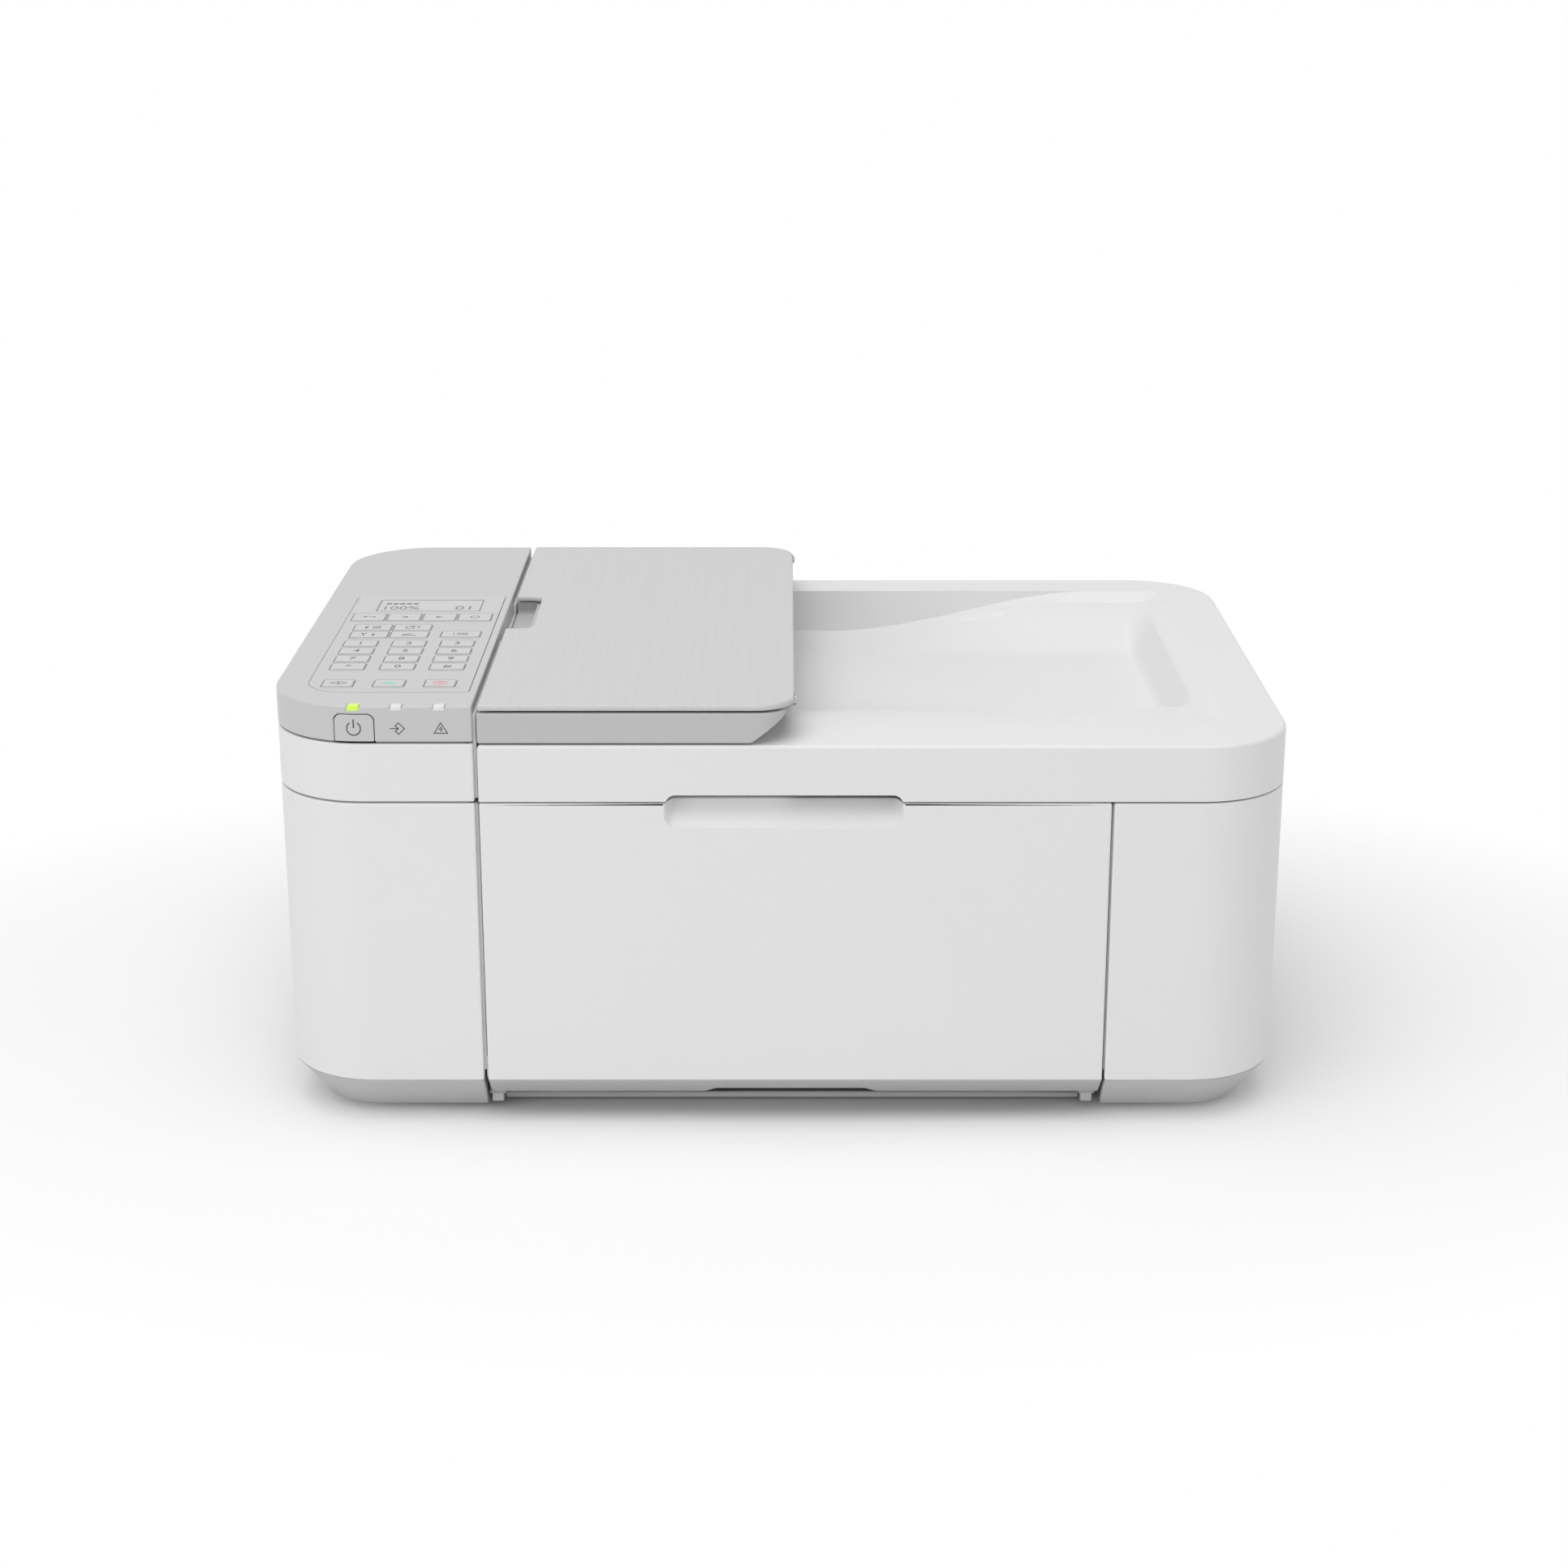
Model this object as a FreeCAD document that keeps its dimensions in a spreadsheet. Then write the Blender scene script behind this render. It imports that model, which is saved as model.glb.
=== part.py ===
"""Inkjet printer with a flat-bed scanner, a document feeder and a left control panel.

Millimetres. +X to the right, +Y to the back, +Z up. The origin lies on the floor, under the middle of
the casing. Every piece stands at its place in the closed printer.
"""
import FreeCAD
import Part
import Sketcher
import math
import os
from types import SimpleNamespace

# Driving dimensions, one cell each
SIZES = {
    # casing
    "width": 435.0,
    "depth": 295.0,
    "height": 190.0,
    "corner_radius": 40.0,
    "wall": 2.5,
    "floor_thickness": 3.0,
    "foot_height": 3.0,
    "foot_radius": 8.0,
    "foot_inset_x": 60.0,
    "foot_inset_y": 45.0,
    "skirt_top": 20.0,
    "skirt_inset": 14.0,
    "seam_z_down": 42.7,
    "seam_gap": 0.8,
    "cover_top_down": 17.5,
    "deck_z_down": 16.0,
    "deck_gap": 0.8,
    "left_split_in": 88.5,
    "left_gap": 1.8,
    "right_split_in": 77.75,
    "right_gap": 1.1,
    "jamb_depth": 34.0,
    "nest_gap": 0.3,
    # front door
    "door_thickness": 3.0,
    "lip_bottom": 9.5,
    "lip_back": 12.0,
    "lip_thickness": 2.5,
    "tab_bottom": 4.6,
    "relief_back": 32.5,
    "lip_notch_left": -36.0,
    "lip_notch_right": 43.0,
    "lip_notch_rise": 3.0,
    "lip_notch_slope": 7.0,
    "handle_left": -49.6,
    "handle_right": 51.2,
    "handle_bottom_down": 53.3,
    "handle_top_down": 39.4,
    "handle_depth": 8.0,
    "handle_radius": 4.5,
    "hinge_y": 16.0,
    "hinge_z": 17.2,
    "pin_radius": 2.0,
    "pin_clearance": 0.05,
    "pin_length": 5.0,
    "bracket_width": 5.4,
    "bracket_depth": 8.1,
    "arm_below": 1.6,
    "arm_above": 4.0,
    "arm_front": 3.0,
    "bracket_left_on": 6.5,
    "bracket_right_on": 8.75,
    "ear_thickness": 5.2,
    "cheek": 4.0,
    "side_gap": 0.3,
    "small_pin_radius": 1.0,
    "small_pin_length": 3.0,
    "barrel_radius": 2.4,
    # output stop on the door
    "stop_left": -30.0,
    "stop_right": 40.0,
    "stop_axis_z_down": 72.0,
    "stop_length": 40.0,
    "stop_thickness": 2.6,
    # paper tray
    "tray_front": 20.0,
    "sheet_left_on": 29.0,
    "sheet_right_on": 29.75,
    "guide_front_in": 35.5,
    "guide_back": -46.0,
    "guide_height": 20.0,
    "guide_thickness": 3.0,
    "guide_foot": 28.0,
    "keel_width": 5.4,
    "keel_depth": 1.4,
    # inner cover
    "inner_left_on": 17.0,
    "inner_right_on": 17.75,
    "inner_y_in": 51.5,
    "inner_axis_z_down": 124.0,
    "inner_height": 42.0,
    "inner_thickness": 2.4,
    "pillar_width": 5.0,
    "pillar_depth": 10.0,
    "pillar_rise": 6.0,
    "inner_barrel": 3.0,
    # chassis and carriage
    "leg_x_in": 24.5,
    "steel_thickness": 3.0,
    "leg_front": -55.0,
    "leg_back": 60.0,
    "flange_width": 15.0,
    "rail_y": 44.0,
    "rail_bottom_down": 120.0,
    "rail_top_down": 68.0,
    "rod_y": 32.5,
    "rod_z_down": 90.0,
    "rod_radius": 4.0,
    "carriage_park": 73.0,
    "carriage_width": 66.0,
    "carriage_front": -34.0,
    "carriage_back": 26.0,
    "carriage_bottom_down": 122.0,
    "carriage_top_down": 78.0,
    "boss_height": 16.0,
    "cartridge_gap": 0.5,
    "cartridge_rise": 4.0,
    # belt drive
    "pulley_radius": 6.0,
    "pulley_left_in": 21.0,
    "pulley_right_in": 11.0,
    "belt_z_down": 106.0,
    "belt_width": 4.0,
    "belt_thickness": 1.2,
    "motor_radius": 14.0,
    "motor_length": 26.0,
    # rollers and gears
    "roller_z_down": 140.0,
    "feed_y": 30.0,
    "eject_y": -35.0,
    "feed_radius": 6.0,
    "eject_radius": 5.0,
    "shaft_radius": 3.0,
    "gear_in": 4.0,
    "gear_width": 6.0,
    # maintenance cap
    "cap_length": 48.0,
    "cap_width": 44.0,
    "cap_height": 17.0,
    "cap_drop": 3.0,
    "cap_gap": 0.4,
    "post_length": 26.0,
    "post_width": 24.0,
    "post_gap": 6.0,
    # electrics
    "power_left_in": 31.5,
    "power_right_in": 77.5,
    "power_depth": 56.0,
    "power_back_in": 19.5,
    "power_height": 52.0,
    "inlet_x_in": 52.5,
    "inlet_z": 40.0,
    "inlet_width": 18.0,
    "inlet_height": 11.0,
    "socket_wall": 2.0,
    "socket_depth": 12.0,
    "board_x_in": 67.5,
    "board_length": 62.0,
    "board_back_in": 19.5,
    "board_top_down": 82.0,
    "board_thickness": 1.6,
    "jack_width": 13.0,
    "jack_height": 12.0,
    "jack_low": 40.0,
    "jack_pitch": 22.0,
    # rear cover
    "rear_left_on": 24.0,
    "rear_right_on": 34.75,
    "rear_bottom": 32.0,
    "rear_top_down": 72.0,
    "rear_overlap": 4.0,
    # scanner
    "scan_bottom_down": 64.0,
    "scan_top_down": 43.8,
    "scan_wall": 3.0,
    "glass_left_on": 23.0,
    "glass_right_in": 17.5,
    "glass_half_in": 35.5,
    "glass_thickness": 2.0,
    "glass_ledge": 3.0,
    "glass_fit": 0.2,
    "scan_unit_left_on": 29.0,
    "scan_unit_width": 22.0,
    "scan_unit_side": 6.0,
    "scan_unit_bottom_down": 59.0,
    "scan_unit_top_down": 48.0,
    "scan_rail_width": 6.0,
    "scan_rail_height": 6.0,
    "band_ledge_down": 25.0,
    # document cover
    "plate_z_down": 40.0,
    "recess_floor_down": 37.0,
    "recess_right_in": 26.3,
    "recess_front_in": 30.1,
    "recess_back_in": 24.9,
    "recess_step_down": 21.5,
    "recess_step_in": 9.0,
    "recess_slope_in": 24.0,
    "recess_radius": 14.0,
    "rim_skin": 3.0,
    "pad_left_on": 31.0,
    "pad_right_in": 25.5,
    "pad_side": 8.0,
    "pad_gap": 0.8,
    "cover_axis_in": 2.5,
    "cover_axis_z_down": 39.4,
    "cover_gap": 0.5,
    "lug_left_x_on": 69.0,
    "lug_right_x_in": 67.5,
    "lug_width": 10.0,
    "lug_radius": 2.4,
    "lug_gap": 0.6,
    "cover_pin_radius": 1.5,
    "knuckle": 7.0,
    # document feeder
    "feeder_right_on": 131.5,
    "feeder_top_down": 3.6,
    "feeder_inset": 0.5,
    "bevel_top_down": 5.1,
    "bevel_run": 15.5,
    "body_left_on": 10.0,
    "body_right_on": 109.0,
    "body_half_in": 23.5,
    "feeder_floor_down": 35.0,
    "exit_bottom_down": 33.0,
    "exit_top_down": 23.0,
    "exit_side": 12.0,
    "feeder_wall": 3.0,
    "channel_in": 6.0,
    "channel_half_in": 8.0,
    "lid_thickness": 2.7,
    "lid_right_on": 134.1,
    "lid_radius": 16.0,
    "feeder_radius": 12.0,
    "lid_axis_x_on": 132.0,
    "lid_axis_z_down": 4.4,
    "lid_lip_side": 11.0,
    "lid_lip_bottom_down": 8.0,
    "lid_lip_width": 2.5,
    "lid_ear_y_in": 17.5,
    "lid_ear_half": 2.0,
    "lid_ear_radius": 2.2,
    "notch_width": 12.2,
    "notch_front": -19.0,
    "notch_back": 41.5,
    "notch_drop": 5.0,
    "notch_radius": 5.0,
    "docguide_left_on": 29.0,
    "docguide_right_on": 83.0,
    "docguide_side": 22.0,
    "docguide_drop": 7.0,
    "docguide_foot": 17.0,
    "docguide_thickness": 2.0,
    "docguide_stem": 4.0,
    "docguide_groove": 1.2,
    "docguide_travel": 70.0,
    "pick_x_on": 95.0,
    "pick_z_down": 15.0,
    "pick_radius": 7.0,
    "pick_half": 20.0,
    "pick_shaft": 2.5,
    "pick_post": 60.0,
    # control panel
    "panel_plate": 2.5,
    "key_proud": 0.3,
    "key_depth": 3.2,
    "key_gap": 0.25,
    "key_radius": 1.2,
    "overlay_thickness": 0.8,
    "overlay_left_in": 14.1,
    "overlay_right_in": 84.1,
    "overlay_front_in": 21.7,
    "overlay_back_in": 189.5,
    "overlay_corner": 17.0,
    "overlay_radius": 2.0,
    "display_left_in": 25.5,
    "display_right_in": 75.0,
    "display_front_in": 160.5,
    "display_back_in": 182.5,
    "display_fit": 0.1,
    "nav_left_in": 16.5,
    "nav_front_in": 141.8,
    "nav_pitch": 16.5,
    "nav_depth": 14.0,
    "key_spacing": 1.0,
    "mode_left_in": 20.1,
    "mode_front_in": 111.1,
    "mode_pitch_x": 18.3,
    "mode_pitch_y": 12.6,
    "menu_left_in": 61.5,
    "menu_right_in": 79.5,
    "menu_front_in": 111.8,
    "menu_back_in": 123.5,
    "digit_left_in": 19.5,
    "digit_back_in": 106.7,
    "digit_width": 15.2,
    "digit_depth": 11.0,
    "digit_pitch_x": 21.8,
    "digit_pitch_y": 13.1,
    "action_left_in": 20.2,
    "action_front_in": 29.1,
    "action_width": 13.4,
    "action_depth": 11.6,
    "action_pitch": 21.9,
    "power_key_left_in": 29.9,
    "power_key_right_in": 46.5,
    "power_key_top_down": 4.1,
    "power_key_depth": 4.0,
    "power_key_radius": 3.0,
    "lamp_width": 4.9,
    "lamp_depth": 4.3,
    "lamp_drop": 1.1,
    "lamp_first_in": 38.0,
    "lamp_pitch": 18.0,
    # fasteners
    "screw_radius": 1.5,
    "screw_head": 2.9,
    "screw_head_height": 1.4,
    "screw_length": 7.0,
    "screw_front": -40.0,
    "screw_back": 45.0,
    "screw_fit": 0.4,
}

# Counts, which have no cell
FEED_TEETH = 25
IDLER_TEETH = 40


class Size:
    """A length: its value now, and the expression on the sheet that it follows."""

    def __init__(self, value, text):
        self.value = value
        self.text = text

    def joined(self, sign, value, other):
        return Size(value, f"({self.text} {sign} {other.text})")

    def __add__(self, other):
        other = as_size(other)
        return self.joined("+", self.value + other.value, other)

    def __sub__(self, other):
        other = as_size(other)
        return self.joined("-", self.value - other.value, other)

    def __mul__(self, other):
        other = as_size(other)
        return self.joined("*", self.value * other.value, other)

    def __truediv__(self, other):
        other = as_size(other)
        return self.joined("/", self.value / other.value, other)

    def __radd__(self, other):
        return as_size(other) + self

    def __rsub__(self, other):
        return as_size(other) - self

    def __rmul__(self, other):
        return as_size(other) * self

    def __neg__(self):
        return Size(-self.value, f"(0 - {self.text})")


def root(length):
    """The square root of a Size."""
    return Size(math.sqrt(length.value), f"sqrt({length.text})")


def as_size(item):
    """A plain number as a Size."""
    if isinstance(item, Size):
        return item
    return Size(float(item), f"({float(item)})")


doc = FreeCAD.newDocument("inkjet_printer")
sheet = doc.addObject("Spreadsheet::Sheet", "dims")
for row, (alias, number) in enumerate(SIZES.items(), start=1):
    sheet.set(f"A{row}", alias)
    sheet.set(f"B{row}", str(number))
    sheet.setAlias(f"B{row}", alias)
doc.recompute()
d = SimpleNamespace(**{alias: Size(float(sheet.get(alias)), f"dims.{alias}") for alias in SIZES})

nodes = {}


def bind(thing, prop, length):
    """Tie one property of a piece to the sheet."""
    thing.setExpression(prop, as_size(length).text)


def keep(thing, label):
    """Name a finished piece and put it on the list that is written out."""
    thing.Label = label
    nodes[label] = thing
    return thing


# Solid helpers


def box(x, y, z):
    """A block between three pairs of limits."""
    block = doc.addObject("Part::Box", "block")
    for prop, axis, (low, high) in (("Length", "x", x), ("Width", "y", y), ("Height", "z", z)):
        bind(block, prop, as_size(high) - low)
        bind(block, f"Placement.Base.{axis}", low)
    return block


TURNS = {"x": ((0, 1, 0), 90), "y": ((1, 0, 0), -90), "z": ((0, 0, 1), 0)}


def rod(axis, at, start, end, radius):
    """A round bar along x, y or z; at gives the two other coordinates in x, y, z order."""
    bar = doc.addObject("Part::Cylinder", "bar")
    bind(bar, "Radius", radius)
    bind(bar, "Height", as_size(end) - start)
    turn_axis, angle = TURNS[axis]
    bar.Placement = FreeCAD.Placement(FreeCAD.Vector(), FreeCAD.Rotation(FreeCAD.Vector(*turn_axis), angle))
    others = [letter for letter in "xyz" if letter != axis]
    bind(bar, f"Placement.Base.{axis}", start)
    bind(bar, f"Placement.Base.{others[0]}", at[0])
    bind(bar, f"Placement.Base.{others[1]}", at[1])
    return bar


def fuse(*pieces):
    """Several solids as one."""
    joined = doc.addObject("Part::MultiFuse", "joined")
    joined.Shapes = list(pieces)
    joined.Refine = True
    return joined


def cut(base, *tools):
    """A solid without the space of the others."""
    tool = tools[0] if len(tools) == 1 else fuse(*tools)
    result = doc.addObject("Part::Cut", "cut")
    result.Base = base
    result.Tool = tool
    result.Refine = True
    return result


def shared(first, second):
    """The space that two solids share."""
    result = doc.addObject("Part::Common", "shared")
    result.Base = first
    result.Tool = second
    result.Refine = True
    return result


def group(*pieces):
    """Separate solids that belong to one node."""
    result = doc.addObject("Part::Compound", "group")
    result.Links = list(pieces)
    return result


# Sketch helpers

PLANES = {"xy": "XY_Plane", "xz": "XZ_Plane", "yz": "YZ_Plane"}
BACKWARD = {"xy": 1, "xz": -1, "yz": 1}


def new_sketch(plane, level):
    """A body with one empty sketch that lies at a level across the plane's normal."""
    body = doc.addObject("PartDesign::Body", "body")
    sketch = body.newObject("Sketcher::SketchObject", "outline")
    support = [item for item in body.Origin.OriginFeatures if item.Role == PLANES[plane]][0]
    sketch.AttachmentSupport = [(support, "")]
    sketch.MapMode = "FlatFace"
    bind(sketch, "AttachmentOffset.Base.z", BACKWARD[plane] * as_size(level))
    return body, sketch


def pin_point(sketch, line, end, x, y):
    """Hold one end of a sketch line at a point of the sheet."""
    for kind, length in (("DistanceX", as_size(x)), ("DistanceY", as_size(y))):
        place = sketch.addConstraint(Sketcher.Constraint(kind, -1, 1, line, end, length.value))
        bind(sketch, f"Constraints[{place}]", length)


def outline(sketch, points):
    """A closed polygon through points of the sheet."""
    count = len(points)
    spots = [FreeCAD.Vector(as_size(x).value, as_size(y).value, 0) for x, y in points]
    for i in range(count):
        sketch.addGeometry(Part.LineSegment(spots[i], spots[(i + 1) % count]), False)
    for i in range(count):
        sketch.addConstraint(Sketcher.Constraint("Coincident", i, 2, (i + 1) % count, 1))
    for i, (x, y) in enumerate(points):
        pin_point(sketch, i, 1, x, y)


def rounded_outline(sketch, x, y, radius):
    """A rectangle with four round corners: sides are lines 0 to 3, corners are arcs 4 to 7."""
    x0, x1 = as_size(x[0]), as_size(x[1])
    y0, y1 = as_size(y[0]), as_size(y[1])
    r = as_size(radius)
    a, b, c, e, n = x0.value, x1.value, y0.value, y1.value, r.value
    vector = FreeCAD.Vector
    sketch.addGeometry(Part.LineSegment(vector(a + n, c, 0), vector(b - n, c, 0)), False)
    sketch.addGeometry(Part.LineSegment(vector(b, c + n, 0), vector(b, e - n, 0)), False)
    sketch.addGeometry(Part.LineSegment(vector(b - n, e, 0), vector(a + n, e, 0)), False)
    sketch.addGeometry(Part.LineSegment(vector(a, e - n, 0), vector(a, c + n, 0)), False)
    centres = [(b - n, c + n), (b - n, e - n), (a + n, e - n), (a + n, c + n)]
    for i, (u, v) in enumerate(centres):
        start = math.radians(270 + 90 * i)
        ring = Part.Circle(vector(u, v, 0), vector(0, 0, 1), n)
        sketch.addGeometry(Part.ArcOfCircle(ring, start, start + math.pi / 2), False)
    for i in range(4):
        sketch.addConstraint(Sketcher.Constraint("Tangent", i, 2, 4 + i, 1))
        sketch.addConstraint(Sketcher.Constraint("Tangent", 4 + i, 2, (i + 1) % 4, 1))
    for i, kind in enumerate(("Horizontal", "Vertical", "Horizontal", "Vertical")):
        sketch.addConstraint(Sketcher.Constraint(kind, i))
    for i in (5, 6, 7):
        sketch.addConstraint(Sketcher.Constraint("Equal", 4, i))
    limits = (("Radius", None, r), ("DistanceX", 1, x1), ("DistanceX", 3, x0), ("DistanceY", 0, y0),
              ("DistanceY", 2, y1))
    for kind, side, length in limits:
        if side is None:
            place = sketch.addConstraint(Sketcher.Constraint(kind, 4, length.value))
        else:
            place = sketch.addConstraint(Sketcher.Constraint(kind, -1, 1, side, 1, length.value))
        bind(sketch, f"Constraints[{place}]", length)


def padded(body, sketch, thickness):
    """The sketch thickened along its plane's normal."""
    pad = body.newObject("PartDesign::Pad", "pad")
    pad.Profile = sketch
    bind(pad, "Length", thickness)
    sketch.Visibility = False
    return body


def prism(plane, points, start, end):
    """A polygon thickened from one level to another."""
    body, sketch = new_sketch(plane, end if plane == "xz" else start)
    outline(sketch, points)
    return padded(body, sketch, as_size(end) - start)


def slab(plane, x, y, levels, radius):
    """A rectangle with round corners thickened between two levels."""
    start, end = levels
    body, sketch = new_sketch(plane, end if plane == "xz" else start)
    rounded_outline(sketch, x, y, radius)
    return padded(body, sketch, as_size(end) - start)


def lofted(sections):
    """Straight walls between rounded rectangles, each given as x, y, z and radius."""
    loft = doc.addObject("Part::Loft", "loft")
    outlines = []
    for x, y, z, radius in sections:
        sketch = doc.addObject("Sketcher::SketchObject", "section")
        rounded_outline(sketch, x, y, radius)
        bind(sketch, "Placement.Base.z", z)
        outlines.append(sketch)
    loft.Sections = outlines
    loft.Solid = True
    loft.Ruled = True
    return loft


# Places that several pieces share

half_x = d.width / 2
half_y = d.depth / 2
front = -half_y

# Heights that are measured down from the top
seam_z = d.height - d.seam_z_down
cover_top = d.height - d.cover_top_down
deck_z = d.height - d.deck_z_down
handle_bottom = d.height - d.handle_bottom_down
handle_top = d.height - d.handle_top_down
stop_axis_z = d.height - d.stop_axis_z_down
inner_axis_z = d.height - d.inner_axis_z_down
rail_bottom = d.height - d.rail_bottom_down
rail_top = d.height - d.rail_top_down
rod_z = d.height - d.rod_z_down
carriage_bottom = d.height - d.carriage_bottom_down
carriage_top = d.height - d.carriage_top_down
belt_z = d.height - d.belt_z_down
roller_z = d.height - d.roller_z_down
rear_top = d.height - d.rear_top_down
board_top = d.height - d.board_top_down
scan_bottom = d.height - d.scan_bottom_down
scan_top = d.height - d.scan_top_down
scan_unit_bottom = d.height - d.scan_unit_bottom_down
scan_unit_top = d.height - d.scan_unit_top_down
band_ledge = d.height - d.band_ledge_down
plate_z = d.height - d.plate_z_down
recess_floor = d.height - d.recess_floor_down
recess_step = d.height - d.recess_step_down
cover_axis_z = d.height - d.cover_axis_z_down
feeder_top = d.height - d.feeder_top_down
bevel_top = d.height - d.bevel_top_down
feeder_floor = d.height - d.feeder_floor_down
exit_bottom = d.height - d.exit_bottom_down
exit_top = d.height - d.exit_top_down
lid_axis_z = d.height - d.lid_axis_z_down
lid_lip_bottom = d.height - d.lid_lip_bottom_down
pick_z = d.height - d.pick_z_down
power_key_top = d.height - d.power_key_top_down

# Places that are measured in from the left side, the right side and the two splits
left_split = d.left_split_in - half_x
overlay_left = d.overlay_left_in - half_x
overlay_right = d.overlay_right_in - half_x
display_left = d.display_left_in - half_x
display_right = d.display_right_in - half_x
nav_left = d.nav_left_in - half_x
mode_left = d.mode_left_in - half_x
menu_left = d.menu_left_in - half_x
menu_right = d.menu_right_in - half_x
digit_left = d.digit_left_in - half_x
action_left = d.action_left_in - half_x
power_key_left = d.power_key_left_in - half_x
power_key_right = d.power_key_right_in - half_x
lamp_first = d.lamp_first_in - half_x
power_left = d.power_left_in - half_x
power_right = d.power_right_in - half_x
inlet_x = d.inlet_x_in - half_x
right_split = half_x - d.right_split_in
recess_right = half_x - d.recess_right_in
glass_right = half_x - d.glass_right_in
pad_right = half_x - d.pad_right_in
lug_right_x = half_x - d.lug_right_x_in
board_x = half_x - d.board_x_in
leg_x = half_x - d.leg_x_in
bracket_left = left_split + d.bracket_left_on
sheet_left = left_split + d.sheet_left_on
inner_left = left_split + d.inner_left_on
rear_left = left_split + d.rear_left_on
glass_left = left_split + d.glass_left_on
pad_left = left_split + d.pad_left_on
scan_unit_left = left_split + d.scan_unit_left_on
lug_left_x = left_split + d.lug_left_x_on
feeder_right = left_split + d.feeder_right_on
body_left = left_split + d.body_left_on
body_right = left_split + d.body_right_on
lid_right = left_split + d.lid_right_on
lid_axis_x = left_split + d.lid_axis_x_on
docguide_left = left_split + d.docguide_left_on
docguide_right = left_split + d.docguide_right_on
pick_x = left_split + d.pick_x_on
bracket_right = right_split - d.bracket_right_on
sheet_right = right_split - d.sheet_right_on
inner_right = right_split - d.inner_right_on
rear_right = right_split - d.rear_right_on

# Places that are measured in from the front and the back
overlay_front = front + d.overlay_front_in
overlay_back = front + d.overlay_back_in
display_front = front + d.display_front_in
display_back = front + d.display_back_in
nav_front = front + d.nav_front_in
mode_front = front + d.mode_front_in
menu_front = front + d.menu_front_in
menu_back = front + d.menu_back_in
digit_back = front + d.digit_back_in
action_front = front + d.action_front_in
guide_front = front + d.guide_front_in
inner_y = front + d.inner_y_in
recess_front = front + d.recess_front_in
recess_back = half_y - d.recess_back_in
power_back = half_y - d.power_back_in
board_back = half_y - d.board_back_in
body_half = half_y - d.body_half_in
channel_half = half_y - d.channel_half_in
lid_ear_y = half_y - d.lid_ear_y_in
glass_half = half_y - d.glass_half_in

# Places that follow one of those above
power_front = power_back - d.power_depth
board_front = board_back - d.board_length
exit_half = body_half - d.exit_side
docguide_y = body_half - d.docguide_side
lid_lip_half = lid_ear_y - d.lid_lip_side
pad_half = glass_half - d.pad_side
scan_unit_half = glass_half - d.scan_unit_side
carriage_left = leg_x - d.carriage_park
pulley_left = d.pulley_left_in - leg_x
pulley_right = leg_x - d.pulley_right_in
gear_x = d.gear_in - leg_x

# Seams and splits
seam_low = seam_z - d.seam_gap / 2
seam_high = seam_z + d.seam_gap / 2
panel_right = left_split - d.left_gap / 2
cover_left = left_split + d.left_gap / 2
door_right = right_split - d.right_gap / 2
case_right = right_split + d.right_gap / 2
base_top = d.foot_height + d.floor_thickness
panel_top = d.height - d.key_proud
OVER = 1.0    # how far a cutter runs past the face that it opens


def plan(z0, z1, inset=0.0):
    """The casing's round-cornered plan, drawn in by an inset, between two heights."""
    across = half_x - inset
    along = half_y - inset
    return slab("xy", (-across, across), (-along, along), (z0, z1), d.corner_radius - inset)


def handle_pocket():
    """The finger hollow that the door and the document cover share."""
    x = (d.handle_left, d.handle_right)
    z = (handle_bottom, handle_top)
    return slab("xz", x, z, (front - OVER, front + d.handle_depth), d.handle_radius)


# Casing

axis_y = front + d.hinge_y
bracket_spans = (
    (bracket_left, bracket_left + d.bracket_width, -1),
    (bracket_right - d.bracket_width, bracket_right, 1),
)
pillar_spans = (
    (inner_left - d.side_gap - d.pillar_width, inner_left - d.side_gap),
    (inner_right + d.side_gap, inner_right + d.side_gap + d.pillar_width),
)
cap_x = carriage_left + d.carriage_width / 2
cap_y = (d.carriage_front + d.carriage_back) / 2
cap_top = carriage_bottom - d.cap_gap
keel_y = (guide_front + d.guide_back) / 2
screw_x = leg_x - d.flange_width / 2
screw_spots = [(side * screw_x, y) for side in (-1, 1) for y in (d.screw_front, d.screw_back)]
screw_seat = base_top - d.floor_thickness / 2


def hinge_bracket(low, high, side):
    """One post with an arm and a pin that carries the front door."""
    post_front = front + d.relief_back - d.wall
    post_back = post_front + d.bracket_depth
    arm_top = d.hinge_z + d.arm_above
    post = box((low, high), (post_front, post_back), (base_top, arm_top))
    arm = box((low, high), (axis_y - d.arm_front, post_back), (d.hinge_z - d.arm_below, arm_top))
    if side < 0:
        pin = rod("x", (axis_y, d.hinge_z), low - d.pin_length, low, d.pin_radius)
    else:
        pin = rod("x", (axis_y, d.hinge_z), high, high + d.pin_length, d.pin_radius)
    return fuse(post, arm, pin)


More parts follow.
